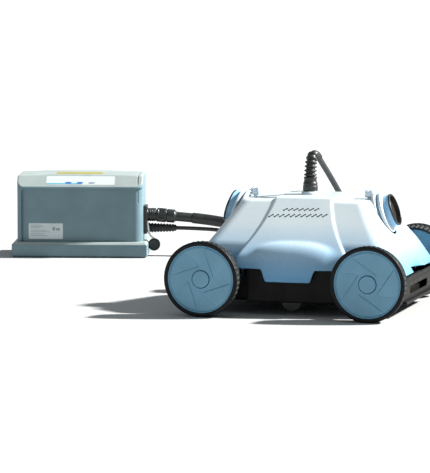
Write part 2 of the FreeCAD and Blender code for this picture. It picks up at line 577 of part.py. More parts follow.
def ring_block(radius, half, low, tall, spot, node):
    """The outer shape of a coil: a flat ring on the floor."""
    inner, outer, high = f"{radius} - {half}", f"{radius} + {half}", f"{low} + {tall}"
    coil = turned([(inner, low), (outer, low), (outer, high), (inner, high)], "coil")
    coil.Placement.Base = spot
    return subpart(coil, node)


def tie(radius, half, tall, spot, angle):
    """A flat strap round the section of a coil."""
    near, far = f"{radius} - {half} - 0.5", f"{radius} + {half} + 0.5"
    outer = block((f"{near} - tie", f"{far} + tie"), ("-5", "5"), ("-tie - 0.2", f"{tall} + tie + 0.2"))
    inner = block((near, far), ("-6", "6"), ("-0.2", f"{tall} + 0.2"))
    strap = cut(outer, [inner])
    strap.Placement = Placement(spot, Rotation(Vector(0, 0, 1), angle))
    return strap


def build_cords():
    """The floating cable and the mains lead: the free runs, and the coils that hold the rest."""
    cord(BOOT_ROUTE, 7.5, "bend_boot")
    cord(ROBOT_ROUTE, dim("cable_rad"), "cable_robot_end")
    ring_block("coil_rad", "coil_half", "0", "2 * coil_half", COIL_SPOT, "cable_coil")
    cord(CONNECTOR_BEND, 10.5, "connector_boot")
    cord(SUPPLY_ROUTE, dim("cable_rad"), "cable_supply_end")
    cord(MAINS_ROUTE, dim("lead_rad"), "mains_lead")
    ring_block("small_coil_rad", "small_coil_half", "0", "small_coil_tall", SMALL_COIL_SPOT, "mains_coil")
    straps = [tie("coil_rad", "coil_half", "2 * coil_half", COIL_SPOT, angle) for angle in (80, 260)]
    straps.append(tie("small_coil_rad", "small_coil_half", "small_coil_tall", SMALL_COIL_SPOT, 100))
    subpart(group(straps, "ties"), "coil_ties")
    cord([Vector(-3.5, 0, 215), Vector(-3.5, 0, 174), Vector(-2, 24, 168), Vector(0, 47, 156),
          Vector(1, 49, 120), Vector(0, 48, 83.4)], 4, "motor_lead")


def build_plug():
    """The mains plug on its short tail, with two flat blades and a round earth pin."""
    start, stop = PLUG_ROUTE[-2], PLUG_ROUTE[-1]
    ahead = Vector(stop.x - start.x, stop.y - start.y, 0).normalize()
    up = Vector(0, 0, 1)
    aim = Rotation(up, ahead.cross(up), ahead, "ZXY")
    tail, radii = cord_path(PLUG_ROUTE)
    ring = Part.Wire(Part.Circle(PLUG_ROUTE[0], PLUG_ROUTE[1] - PLUG_ROUTE[0], dim("lead_rad")).toShape())
    body = Part.makeCylinder(9, 30, Vector(), Vector(0, 0, 1))
    grip = Part.makeBox(20, 26, 16, Vector(-10, -13, 14))
    plug = body.fuse(grip).removeSplitter()
    plug.Placement = Placement(stop, aim)
    item = doc.addObject("Part::Feature", "mains_plug")
    item.Shape = tail.makePipeShell([ring], True, False, 1).fuse(plug).removeSplitter()
    subpart(item, "mains_plug")
    blades = [Part.makeBox(6.3, 1.5, 17, Vector(-1, y - 0.75, 30)) for y in (-6.3, 6.3)]
    blades.append(Part.makeCylinder(2.4, 19, Vector(-6, 0, 30), Vector(0, 0, 1)))
    pins = doc.addObject("Part::Feature", "plug_pins")
    pins.Shape = Part.makeCompound(blades)
    pins.Placement = Placement(stop, aim)
    subpart(pins, "plug_pins")


build_shell()
build_nozzles()
build_cable_entry()
build_chassis()
build_lid()
build_wheels()
build_drive()
build_duct()
build_inside()
build_supply()
build_cords()
build_plug()
doc.recompute()

for item in doc.Objects:
    if "Invalid" in item.State or "Error" in item.State:
        raise RuntimeError(f"{item.Label} did not build: {item.State}")
for item in SUBPARTS:
    if item.Shape.isNull() or not item.Shape.isValid():
        raise RuntimeError(f"{item.Label} has no valid shape")

os.makedirs("parts", exist_ok=True)
for item in SUBPARTS:
    item.Shape.exportStep(f"parts/{item.Label}.step")
print(f"{len(SUBPARTS)} sub-parts written")
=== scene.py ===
import math

import bmesh
import bpy
import numpy as np
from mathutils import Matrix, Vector


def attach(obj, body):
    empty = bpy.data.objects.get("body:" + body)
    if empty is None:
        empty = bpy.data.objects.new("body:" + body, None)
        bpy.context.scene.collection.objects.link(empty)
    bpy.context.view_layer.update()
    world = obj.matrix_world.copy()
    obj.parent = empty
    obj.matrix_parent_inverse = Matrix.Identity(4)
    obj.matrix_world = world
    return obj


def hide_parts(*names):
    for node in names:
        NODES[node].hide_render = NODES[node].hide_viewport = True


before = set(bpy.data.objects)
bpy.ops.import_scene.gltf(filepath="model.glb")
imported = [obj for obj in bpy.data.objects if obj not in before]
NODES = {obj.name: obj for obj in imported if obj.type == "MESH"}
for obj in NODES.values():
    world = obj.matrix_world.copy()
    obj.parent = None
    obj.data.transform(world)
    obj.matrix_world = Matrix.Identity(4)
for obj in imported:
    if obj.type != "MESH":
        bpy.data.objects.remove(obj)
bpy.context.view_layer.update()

# Shapes are worked out in millimetres and made in metres.
MM = 0.001


def add_object(name, data):
    item = bpy.data.objects.new(name, data)
    bpy.context.scene.collection.objects.link(item)
    return item


# ---- camera
def make_camera():
    """A long lens a few metres away, a little to the right of square on and just above the floor."""
    turn, rise, away = math.radians(15.6), math.radians(6.08), 6.0
    right = Vector((math.cos(turn), math.sin(turn), 0))
    back = Vector((math.sin(turn) * math.cos(rise), -math.cos(turn) * math.cos(rise), math.sin(rise)))
    data = bpy.data.cameras.new("camera")
    data.lens = 272.5
    data.sensor_width = 36
    data.clip_end = 200
    camera = add_object("camera", data)
    aim = right * -0.163 + Vector((0, 0, 0.1174))
    camera.location = aim + back * away
    camera.rotation_euler = (-back).to_track_quat("-Z", "Y").to_euler()
    bpy.context.scene.camera = camera


# ---- materials
def linear(red, green, blue):
    """A screen colour of 0 to 255 as the shader's own linear colour."""
    def one(value):
        value /= 255
        return value / 12.92 if value <= 0.04045 else ((value + 0.055) / 1.055) ** 2.4
    return one(red), one(green), one(blue), 1


FINISHES = {}


class Finish:
    """A material, kept in FINISHES. Its colour, roughness and bump come from nodes in the object's own space."""

    def __init__(self, name, rough=0.4, **sockets):
        self.material = bpy.data.materials.new(name)
        self.material.use_nodes = True
        FINISHES[name] = self.material
        self.tree = self.material.node_tree
        self.shader = self.tree.nodes["Principled BSDF"]
        self.shader.inputs["Roughness"].default_value = rough
        for label, value in sockets.items():
            self.shader.inputs[label.replace("_", " ")].default_value = value
        self.space = self.tree.nodes.new("ShaderNodeTexCoord").outputs["Object"]

    def node(self, kind, **settings):
        item = self.tree.nodes.new(kind)
        for label, value in settings.items():
            setattr(item, label, value)
        return item

    def link(self, source, target):
        self.tree.links.new(source, target)
        return self

    def texture(self, kind, scale, output, space=None, **settings):
        """A texture whose grains are about 1 / scale metres across."""
        item = self.node("ShaderNodeTex" + kind, **settings)
        item.inputs["Scale"].default_value = scale
        self.link(space or self.space, item.inputs["Vector"])
        return item.outputs[output]

    def noise(self, scale, detail=3.0, stretch=None):
        space = self.space
        if stretch:
            mapping = self.node("ShaderNodeMapping")
            mapping.inputs["Scale"].default_value = stretch
            self.link(space, mapping.inputs["Vector"])
            space = mapping.outputs["Vector"]
        source = self.texture("Noise", scale, "Fac", space)
        source.node.inputs["Detail"].default_value = detail
        return source

    def ramp(self, source, stops):
        """A colour for each level of a source."""
        item = self.node("ShaderNodeValToRGB")
        points = item.color_ramp.elements
        while len(points) < len(stops):
            points.new(0.5)
        for point, (level, colour) in zip(points, stops):
            point.position = level
            point.color = colour
        self.link(source, item.inputs["Fac"])
        return item.outputs["Color"]

    def level(self, source, low, high, start=0.0, stop=1.0):
        """A source's low to high spread over start to stop."""
        item = self.node("ShaderNodeMapRange")
        for label, value in (("From Min", low), ("From Max", high), ("To Min", start), ("To Max", stop)):
            item.inputs[label].default_value = value
        self.link(source, item.inputs["Value"])
        return item.outputs["Result"]

    def mix(self, amount, first, second, kind="MIX"):
        """The first colour turning into the second. Each of the three is a socket or a plain value."""
        item = self.node("ShaderNodeMix", data_type="RGBA", blend_type=kind)
        for socket, value in ((item.inputs[0], amount), (item.inputs[6], first), (item.inputs[7], second)):
            if isinstance(value, bpy.types.NodeSocket):
                self.link(value, socket)
            else:
                socket.default_value = value
        return item.outputs[2]

    def height(self):
        """How high a point is, in metres."""
        item = self.node("ShaderNodeSeparateXYZ")
        self.link(self.space, item.inputs["Vector"])
        return item.outputs["Z"]

    def colour(self, source):
        return self.link(source, self.shader.inputs["Base Color"])

    def mottled(self, colour, spread=0.06, scale=30.0):
        """The colour, a little lighter and darker in soft patches."""
        low = tuple(c * (1 - spread) for c in colour[:3]) + (1,)
        high = tuple(min(1, c * (1 + spread)) for c in colour[:3]) + (1,)
        return self.colour(self.ramp(self.noise(scale), [(0.35, low), (0.65, high)]))

    def uneven(self, rough, spread=0.08, scale=60.0):
        """Roughness that wanders a little."""
        return self.link(self.level(self.noise(scale), 0.3, 0.7, rough - spread, rough + spread),
                         self.shader.inputs["Roughness"])

    def relief(self, source, strength, depth):
        """Bumps up to depth metres high."""
        item = self.node("ShaderNodeBump")
        item.inputs["Strength"].default_value = strength
        item.inputs["Distance"].default_value = depth
        self.link(source, item.inputs["Height"])
        return self.link(item.outputs["Normal"], self.shader.inputs["Normal"])

    def grain(self, scale, strength, depth=0.0002, stretch=None):
        return self.relief(self.noise(scale, 4.0, stretch), strength, depth)


def plastic(name, colour, rough=0.4, spread=0.05, grain=0.12, **sockets):
    made = Finish(name, rough, **sockets)
    made.mottled(linear(*colour), spread)
    made.uneven(rough)
    made.grain(1500, grain)


def shade_graded_plastic(name, high, low, top, bottom, rough, **sockets):
    """Plastic with painted shade: its colour turns from the high colour at top to a darker, bluer low colour at
    bottom, two heights in metres.
    """
    made = Finish(name, rough, **sockets)
    # Painted shade: a colour ramp on height, darker and bluer lower down.
    painted_shade = made.ramp(made.level(made.height(), bottom, top), [(0.0, linear(*low)), (1.0, linear(*high))])
    patches = made.ramp(made.noise(14), [(0.3, (0.93, 0.95, 0.96, 1)), (0.7, (1, 1, 1, 1))])
    made.colour(made.mix(1.0, painted_shade, patches, "MULTIPLY"))
    made.uneven(rough, 0.05)
    made.grain(1300, 0.08)


def rubber(name, colour, rough=0.62, dust=(120, 118, 112), amount=0.25, grain=0.35, **sockets):
    """Rubber with a little dry dust on it."""
    made = Finish(name, rough, **sockets)
    cover = made.level(made.noise(220, 6.0), 0.5, 0.75, 0.0, amount)
    made.colour(made.mix(cover, linear(*colour), linear(*dust)))
    made.uneven(rough, 0.1, 90)
    made.grain(900, grain, 0.0003)


# Fine marks on metal, shorter along Z
BRUSHED = (1, 1, 14)


def metal(name, colour, rough=0.3):
    made = Finish(name, rough, Metallic=1.0)
    made.mottled(linear(*colour), 0.08, 80)
    made.uneven(rough, 0.08, 200)
    made.grain(700, 0.15, 0.00005, BRUSHED)


def cloth(name, colour):
    """A woven mesh cloth."""
    made = Finish(name, 0.85, Sheen_Weight=0.3)
    made.mottled(linear(*colour), 0.1, 60)
    made.relief(made.texture("Wave", 420, "Fac", wave_type="BANDS", bands_direction="DIAGONAL"), 0.5, 0.0003)


def board_green():
    made = Finish("board_green", 0.45)
    tracks = made.texture("Voronoi", 300, "Distance", feature="DISTANCE_TO_EDGE")
    made.colour(made.ramp(tracks, [(0.0, linear(30, 92, 60)), (0.12, linear(18, 66, 42)), (1.0, linear(14, 54, 34))]))
    made.relief(tracks, 0.3, 0.0001)


def foam():
    made = Finish("float_foam", 0.9)
    cells = made.texture("Voronoi", 520, "Distance")
    made.colour(made.ramp(cells, [(0.0, linear(190, 188, 180)), (0.8, linear(232, 230, 222))]))
    made.relief(cells, 0.5, 0.0005)


def clear_knob():
    """Clear grey moulded plastic."""
    made = Finish("knob_grey", 0.22, Transmission_Weight=0.55, IOR=1.49)
    made.mottled(linear(205, 218, 228), 0.06, 120)
    made.grain(600, 0.1)


def make_materials():
    # The hood's colour is painted darker and bluer towards its bottom edge, as painted shade.
    shade_graded_plastic("shell_blue", (186, 196, 200), (80, 146, 188), 0.150, 0.064, 0.30,
                   Coat_Weight=0.25, Coat_Roughness=0.18)
    plastic("nozzle_blue", (122, 166, 198), 0.30, 0.04, 0.08, Coat_Weight=0.2)
    plastic("flange_white", (186, 196, 202), 0.30, 0.03, 0.06, Coat_Weight=0.2)
    # Painted shade: a darker grey-blue for the groove between the nozzle's flange and step ring.
    plastic("recess_painted_shade", (110, 140, 160), 0.42, 0.05, 0.1)
    plastic("wheel_blue", (98, 145, 170), 0.42, 0.07, 0.18)
    plastic("print_black", (24, 27, 32), 0.5, 0.05, 0.05)
    rubber("tyre_black", (14, 18, 20), 0.6, (70, 70, 68), 0.25, 0.4, Specular_IOR_Level=0.25)
    rubber("tyre_side", (8, 13, 16), 0.5, (44, 50, 52), 0.1, 0.25, Specular_IOR_Level=0.2)
    plastic("base_black", (13, 14, 10), 0.5, 0.12, 0.25, Specular_IOR_Level=0.15)
    plastic("fitting_black", (30, 33, 33), 0.36, 0.1, 0.2)
    rubber("rubber_black", (24, 26, 26), 0.42, (88, 92, 92), 0.12, 0.3)
    rubber("cable_black", (42, 47, 47), 0.42, (92, 98, 96), 0.2, 0.2)
    rubber("lead_black", (34, 37, 37), 0.45, (86, 90, 88), 0.15, 0.2)
    rubber("tie_black", (30, 31, 31), 0.6, (70, 70, 68), 0.1, 0.4)
    plastic("flap_amber", (26, 22, 14), 0.5, 0.35, 0.5, Specular_IOR_Level=0.15)
    clear_knob()
    metal("steel", (176, 180, 184))
    metal("iron_core", (98, 94, 92), 0.5)
    metal("bearing_steel", (196, 198, 200), 0.18)
    plastic("inner_grey", (150, 158, 162), 0.5, 0.06, 0.2)
    cloth("filter_cloth", (222, 226, 224))
    foam()
    board_green()
    plastic("supply_grey", (96, 122, 130), 0.46, 0.06, 0.35)
    # Painted light: a lighter copy of supply_grey for the supply box's upward faces.
    plastic("supply_painted_lit", (140, 150, 148), 0.46, 0.05, 0.3)
    plastic("label_white", (184, 190, 192), 0.4, 0.02, 0.05)
    plastic("label_grey", (186, 198, 200), 0.4, 0.04, 0.05)
    plastic("mark_cyan", (70, 150, 180), 0.4, 0.06, 0.05)
    plastic("mark_blue", (42, 92, 150), 0.4, 0.05, 0.05)
    plastic("mark_grey", (128, 138, 146), 0.4, 0.05, 0.05)
    plastic("mark_yellow", (140, 132, 48), 0.45, 0.06, 0.05)
    rubber("strap_grey", (196, 200, 196), 0.6, (120, 120, 116), 0.2, 0.3)
    metal("pin_brass", (204, 176, 110), 0.28)


# ---- mesh tools
def piece(name, verts, faces, finishes, stands_for=None, slot=None, picks=None, crease=32, body="chassis"):
    """A mesh piece from millimetre points that stands for a node. picks gives each face its finish."""
    mesh = bpy.data.meshes.new(name)
    faces = faces if isinstance(faces, list) else faces.tolist()
    mesh.from_pydata((np.asarray(verts, float) * MM).tolist(), [], faces)
    mesh.validate()
    finishes = [finishes] if isinstance(finishes, str) else list(finishes)
    for word in finishes:
        mesh.materials.append(FINISHES[word])
    if picks is not None:
        mesh.polygons.foreach_set("material_index", np.asarray(picks, np.int32)[:len(mesh.polygons)])
    mesh.shade_smooth()
    mesh.set_sharp_from_angle(angle=math.radians(crease))
    item = add_object(name, mesh)
    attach(item, body)
    if stands_for:
        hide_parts(stands_for)
    slot or finishes[0]
    return item


def round_angles(steps):
    return np.linspace(0, 2 * math.pi, steps, endpoint=False)


def ring(radius, height, angles):
    """Points of a level ring about Z."""
    return np.stack([radius * np.cos(angles), radius * np.sin(angles), np.full(len(angles), height)], axis=1)


def quads_over(rows, columns, closed=True):
    """Faces over a grid of points. Each row closes into a ring, and so do the rows if closed."""
    here = np.arange(rows * columns).reshape(rows, columns)
    after = np.roll(here, -1, axis=0)
    quads = np.stack([here, after, np.roll(after, -1, axis=1), np.roll(here, -1, axis=1)], axis=2)
    return (quads if closed else quads[:-1]).reshape(-1, 4)


def turned(profile, steps):
    """Points and faces of a closed profile turned about Z, its corners rounded."""
    profile = np.array(rounded(profile))
    angles = round_angles(steps)
    rings = np.stack([np.outer(np.cos(angles), profile[:, 0]), np.outer(np.sin(angles), profile[:, 0]),
                      np.tile(profile[:, 1], (steps, 1))], axis=2)
    return rings.reshape(-1, 3), quads_over(steps, len(profile))


def rounded(profile, steps=3):
    """A closed profile of (radius, height, size of the corner), with each corner rounded by up to its size."""
    points = [np.asarray(p[:2], float) for p in profile]
    sizes = [p[2] if len(p) > 2 else 0.6 for p in profile]
    out = []
    for k, point in enumerate(points):
        before, after = points[k - 1], points[(k + 1) % len(points)]
        to_before, to_after = before - point, after - point
        reach = min(sizes[k], 0.45 * np.linalg.norm(to_before), 0.45 * np.linalg.norm(to_after))
        if reach < 0.02:
            out.append(point)
            continue
        start = point + to_before / np.linalg.norm(to_before) * reach
        stop = point + to_after / np.linalg.norm(to_after) * reach
        for t in np.linspace(0, 1, steps + 1):
            out.append((1 - t) ** 2 * start + 2 * t * (1 - t) * point + t ** 2 * stop)
    return out


def frame_of(origin, axis, up=(0, 0, 1)):
    """A rotation and an origin that carry local Z to axis."""
    z = np.asarray(axis, float) / np.linalg.norm(axis)
    x = np.cross(up, z)
    if np.linalg.norm(x) < 1e-6:
        x = np.cross((1, 0, 0), z)
    x /= np.linalg.norm(x)
    return np.stack([x, np.cross(z, x), z], axis=1), np.asarray(origin, float)


def placed(points, spot):
    turn, origin = spot
    return np.asarray(points, float) @ turn.T + origin


def swept(path, radius, sides):
    """A closed round tube on a line of points, with a radius for each point."""
    path = np.asarray(path, float)
    radius = np.broadcast_to(np.asarray(radius, float), (len(path),))
    along = np.gradient(path, axis=0)
    along /= np.linalg.norm(along, axis=1)[:, None]
    side = np.cross(along[0], (0.31, 0.77, 0.11))
    side /= np.linalg.norm(side)
    angles = round_angles(sides)
    rings = []
    for point, ahead, size in zip(path, along, radius):
        side = side - ahead * (side @ ahead)
        side /= np.linalg.norm(side)
        other = np.cross(ahead, side)
        rings.append(point + size * (np.cos(angles)[:, None] * side + np.sin(angles)[:, None] * other))
    verts = np.concatenate(rings)
    quads = quads_over(len(path), sides, closed=False)[:, [0, 3, 2, 1]].tolist()
    ends = [list(range(sides))[::-1], list(range(len(verts) - sides, len(verts)))]
    return verts, quads + ends


def merged(*meshes):
    """Several (points, faces) as one, with the number of faces in each."""
    verts, faces, counts, shift = [], [], [], 0
    for points, quads in meshes:
        quads = quads if isinstance(quads, list) else quads.tolist()
        verts.append(np.asarray(points, float))
        faces += [[i + shift for i in face] for face in quads]
        counts.append(len(quads))
        shift += len(points)
    return np.concatenate(verts), faces, counts


def round_edges(item, width):
    edge = item.modifiers.new("edges", "BEVEL")
    edge.width = width * MM
    edge.segments = 3
    edge.limit_method = "ANGLE"
    edge.angle_limit = math.radians(40)
    edge.harden_normals = False


# ---- distance fields
def smin(a, b, k):
    h = np.clip(0.5 + 0.5 * (b - a) / k, 0, 1)
    return b + (a - b) * h - k * h * (1 - h)


def smax(a, b, k):
    return -smin(-a, -b, k)


def step_up(value, low, high):
    t = np.clip((value - low) / (high - low), 0, 1)
    return t * t * (3 - 2 * t)


def box_field(x, y, z, half, radius=0.0):
    """Distance to a box centred on the origin, its edges rounded."""
    q = [np.abs(v) - h + radius for v, h in zip((x, y, z), half)]
    outside = np.sqrt(sum(np.maximum(v, 0) ** 2 for v in q))
    return outside + np.minimum(np.maximum(q[0], np.maximum(q[1], q[2])), 0) - radius


def slab(x, y, z, low, high, radius=0.0):
    """Distance to a box between two corners."""
    middle = [(a + b) / 2 for a, b in zip(low, high)]
    half = [(b - a) / 2 for a, b in zip(low, high)]
    return box_field(x - middle[0], y - middle[1], z - middle[2], half, radius)


def ellipsoid_field(x, y, z, centre, radii):
    p = [(v - c) / r for v, c, r in zip((x, y, z), centre, radii)]
    k0 = np.sqrt(sum(v * v for v in p))
    k1 = np.sqrt(sum((v / r) ** 2 for v, r in zip(p, radii)))
    return k0 * (k0 - 1) / np.maximum(k1, 1e-6)


def skin(field, low, high, step):
    """Points and faces where a field is zero, between two corners, on a grid of that step."""
    axes = [np.arange(a, b + step, step) for a, b in zip(low, high)]
    grid = np.meshgrid(*[a.astype(np.float32) for a in axes], indexing="ij", sparse=True)
    values = np.broadcast_to(np.asarray(field(*grid), np.float32), [len(a) for a in axes])
    origin = np.array([a[0] for a in axes])
    inside = values < 0
    shape = np.array(values.shape) - 1
    count = np.zeros(shape, np.int8)
    corners = [(i, j, k) for i in (0, 1) for j in (0, 1) for k in (0, 1)]
    for i, j, k in corners:
        count += inside[i:shape[0] + i, j:shape[1] + j, k:shape[2] + k]
    active = (count > 0) & (count < 8)
    cell = np.argwhere(active)
    number = np.full(active.shape, -1, np.int64)
    number[tuple(cell.T)] = np.arange(len(cell))
    total = np.zeros((len(cell), 3))
    hits = np.zeros(len(cell))
    for first in corners:
        for axis in range(3):
            if first[axis]:
                continue
            second = list(first)
            second[axis] = 1
            fa = values[tuple((cell + first).T)]
            fb = values[tuple((cell + second).T)]
            cross = (fa < 0) != (fb < 0)
            t = np.zeros(len(cell))
            t[cross] = fa[cross] / (fa[cross] - fb[cross])
            spot = np.tile(np.array(first, float), (len(cell), 1))
            spot[:, axis] += t
            total[cross] += spot[cross]
            hits[cross] += 1
    points = origin + (cell + total / hits[:, None]) * step
    for _ in range(2):
        points = settle(field, points, step)
    faces = []
    for axis, one, two in ((0, 1, 2), (1, 2, 0), (2, 0, 1)):
        cut = [slice(1, -1)] * 3
        cut[axis] = slice(None, -1)
        a = inside[tuple(cut)]
        cut[axis] = slice(1, None)
        b = inside[tuple(cut)]
        for rising, where in ((True, a & ~b), (False, ~a & b)):
            spot = np.argwhere(where)
            spot[:, one] += 1
            spot[:, two] += 1
            quad = []
            for p, q in ((0, 0), (-1, 0), (-1, -1), (0, -1)):
                near = spot.copy()
                near[:, one] += p
                near[:, two] += q
                quad.append(number[tuple(near.T)])
            quad = np.stack(quad, axis=1)
            faces.append(quad if rising else quad[:, ::-1])
    return points, np.concatenate(faces)


def settle(field, points, step):
    """Moves points onto the field's zero surface."""
    eps = step * 0.25
    x, y, z = points.T
    value = field(x, y, z)
    slope = np.stack([field(x + eps, y, z) - field(x - eps, y, z), field(x, y + eps, z) - field(x, y - eps, z),
                      field(x, y, z + eps) - field(x, y, z - eps)], axis=1) / (2 * eps)
    size = np.maximum((slope ** 2).sum(axis=1), 0.25)
    move = slope * (value / size)[:, None]
    far = np.linalg.norm(move, axis=1)
    move *= np.minimum(1, 0.6 * step / np.maximum(far, 1e-9))[:, None]
    return points - move


# ---- cords
def route_curve(name, points, radius, finish):
    """A smooth NURBS cord on a route of millimetre points."""
    curve = bpy.data.curves.new(name, "CURVE")
    curve.dimensions = "3D"
    spline = curve.splines.new("NURBS")
    spline.points.add(len(points) - 1)
    for spot, point in zip(spline.points, points):
        spot.co = (*(np.asarray(point, float) * MM), 1)
    spline.order_u = 3
    spline.use_endpoint_u = True
    curve.resolution_u = 8
    curve.bevel_depth = radius * MM
    curve.bevel_resolution = 5
    curve.use_fill_caps = True
    if finish:
        curve.materials.append(FINISHES[finish])
    return add_object(name, curve)


def line_of(points, spacing=0.8):
    """Evenly spaced millimetre points on the smooth line of a route."""
    guide = route_curve("guide", points, 0, None)
    guide.data.resolution_u = 24
    mesh = bpy.data.meshes.new_from_object(guide)
    raw = np.array([v.co[:] for v in mesh.vertices]) / MM
    bpy.data.objects.remove(guide)
    bpy.data.meshes.remove(mesh)
    gaps = np.linalg.norm(np.diff(raw, axis=0), axis=1)
    raw = raw[np.concatenate([[True], gaps > 1e-4])]
    run = np.concatenate([[0], np.cumsum(np.linalg.norm(np.diff(raw, axis=0), axis=1))])
    spots = np.linspace(0, run[-1], max(8, int(run[-1] / spacing)))
    return np.stack([np.interp(spots, run, raw[:, k]) for k in range(3)], axis=1), run[-1]


def length_of(points):
    return line_of(points, 2.0)[1]


# ---- the two cords
# Routes run along the middle of each cord, in millimetres.
BOOT_ROUTE = [(-3.5, 0, 218), (-3.5, 0, 246), (-0.5, 20, 258), (2.5, 33, 247.6)]
ROBOT_ROUTE = [(2.5, 33, 247.6), (7, 53, 231.6), (19, 104, 187), (28, 148, 146), (34, 184, 108),
               (35, 214, 74), (24, 234, 50), (-2, 238, 39), (-32, 233, 36.4)]
SUPPLY_ROUTE = [(-305, 682, 58), (-265, 670, 51), (-222, 640, 38), (-190, 590, 21), (-174, 530, 9),
                (-172, 476, 5.2), (-178, 420, 5.4), (-184, 366, 5.2), (-182, 322, 5.2), (-169, 284, 5.2),
                (-146, 252, 5.2), (-116, 231, 5.2), (-88, 224, 5.2)]


def level_frame(x, y, degrees):
    """A frame on the floor, turned about Z."""
    c, s = math.cos(math.radians(degrees)), math.sin(math.radians(degrees))
    return np.array([[c, -s, 0], [s, c, 0], [0, 0, 1]]), np.array([x, y, 0.0])


SUPPLY_FRAME = level_frame(-612.3, 649.5, 13)


def supply_point(x, y, z):
    """A point of the supply box's own frame, in the shared frame."""
    return placed((x, y, z), SUPPLY_FRAME)


# On the supply box's side: how far across its socket and its mains lead sit, and how high each is
SIDE_Y, SOCKET_Z, MAINS_Z = -12, 77, 52
# Where the connector starts at the socket, and where the bare mains lead starts at its relief
FOOT_X, LEAD_X = 141.5, 179.5
# The connector's length, and how far it leans down from its socket
CONNECTOR_LONG, DROOP = 67, math.radians(5)
TAIL_X = FOOT_X + CONNECTOR_LONG * math.cos(DROOP)
TAIL_Z = SOCKET_Z - CONNECTOR_LONG * math.sin(DROOP)
CONNECTOR_BEND = [supply_point(TAIL_X, SIDE_Y, TAIL_Z), supply_point(TAIL_X + 28, SIDE_Y, TAIL_Z - 3),
                  (-345, 692, 63.5), (-305, 682, 58)]
MAINS_ROUTE = [supply_point(LEAD_X, SIDE_Y, MAINS_Z), supply_point(LEAD_X + 42, SIDE_Y, MAINS_Z - 1),
               (-350, 701, 47.5), (-300, 709, 38), (-250, 708, 22), (-200, 696, 7), (-148, 668, 3.9),
               (-104, 626, 4.1), (-76, 590, 5), (-62, 558, 12)]
PLUG_ROUTE = [(21, 520, 4.2), (22, 546, 4.2), (20, 574, 8), (14, 596, 10.5)]
CABLE_COIL, MAINS_COIL = (-63, 336), (-25, 507)


def coil_turns(centre, start, way, turns, places):
    """Control points for a wound coil.

    Turn k is wound at places[k], a radius and height, and moves on to the next place over its last points."""
    per_turn, moving = 12, 2
    # The spline passes inside its control points, which are spread by as much
    spread = 1 / (0.75 + 0.25 * math.cos(2 * math.pi / per_turn))
    points = []
    for n in range(int(turns * per_turn) + 1):
        turn, part = divmod(n, per_turn)
        here, there = (places[min(k, len(places) - 1)] for k in (turn, turn + 1))
        t = max(0.0, (part - (per_turn - moving)) / moving)
        radius, height = (h * (1 - t) + w * t for h, w in zip(here, there))
        radius *= spread
        angle = math.radians(start + way * 360 / per_turn * n)
        points.append((centre[0] + radius * math.cos(angle), centre[1] + radius * math.sin(angle), height))
    return points


def make_cords():
    levels = [36.4, 26.3, 16.2, 6.2]
    rows = [105, 95, 85, 75]
    places = [(r, z) for k, z in enumerate(levels) for r in (rows if k % 2 == 0 else rows[::-1])]
    turns = coil_turns(CABLE_COIL, -96, -1, 15.95, places)
    cable_points = ROBOT_ROUTE + turns + SUPPLY_ROUTE[::-1]
    cable = route_curve("floating_cable", cable_points, 5, "cable_black")
    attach(cable, "chassis")
    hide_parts("cable_robot_end", "cable_coil", "cable_supply_end")
    length_of(cable_points) * MM

    places = [(44.2, 19.7), (36.8, 19.7), (36.8, 12.3), (44.2, 12.3), (44.2, 4.9)]
    small = coil_turns(MAINS_COIL, 148, 1, 4.55, places)
    lead_points = MAINS_ROUTE + small + PLUG_ROUTE
    lead = route_curve("mains_cord", lead_points, 3.7, "lead_black")
    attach(lead, "chassis")
    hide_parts("mains_lead", "mains_coil")
    plug = make_plug()
    tuple(v * MM for v in MAINS_ROUTE[0])
    length_of(lead_points) * MM


def make_plug():
    """A moulded plug: a round body that swells to a ribbed grip."""
    start, stop = np.array(PLUG_ROUTE[-2]), np.array(PLUG_ROUTE[-1])
    ahead = stop - start
    ahead[2] = 0
    spot = frame_of(stop, ahead)

    def field(x, y, z):
        neck = np.maximum(np.hypot(x, y) - (5.2 + 3.6 * step_up(z, 2, 15)), np.abs(z - 11) - 12)
        body = box_field(x, y, z - 22, (12.8, 9.8, 7.8), 3.5)
        grooves = step_up(np.cos(z * 2.1), 0.1, 0.9) * step_up(9 - np.abs(z - 22), 0, 3)
        return smin(neck, body, 3) + 0.2245 * grooves

    points, faces = skin(field, (-16, -16, -3), (16, 16, 32), 0.8)
    return piece("plug_body", placed(points, spot), faces, "rubber_black", "mains_plug", "lead_black")


# ---- hood
WING_EDGE = [(57, 92), (97, 92), (103, 88), (113, 81), (126, 72), (138, 65), (150, 59), (167, 52.5), (177, 49.5),
             (186, 48.5)]
WING_Z, WING_X = (np.array(v, np.float32) for v in zip(*WING_EDGE))
SKIRT_Z, STRETCH = 57, 1.032
NOZZLE_TILT = math.radians(19)
# The middle of the front jet's mouth
MOUTH_X, MOUTH_Z = 143, 167
# Where the lock knobs stand, and where the cable goes in
KNOB_X, ENTRY_X = 98, -3.5
ENDS = ((1, "front"), (-1, "rear"))


def nozzle_axis(x, z):
    """How far along the jet from the mouth a point is, and how far across from its axis in the XZ plane."""
    dx, dz = np.abs(x) - MOUTH_X, z - MOUTH_Z
    c, s = math.cos(NOZZLE_TILT), math.sin(NOZZLE_TILT)
    return dx * c + dz * s, dz * c - dx * s


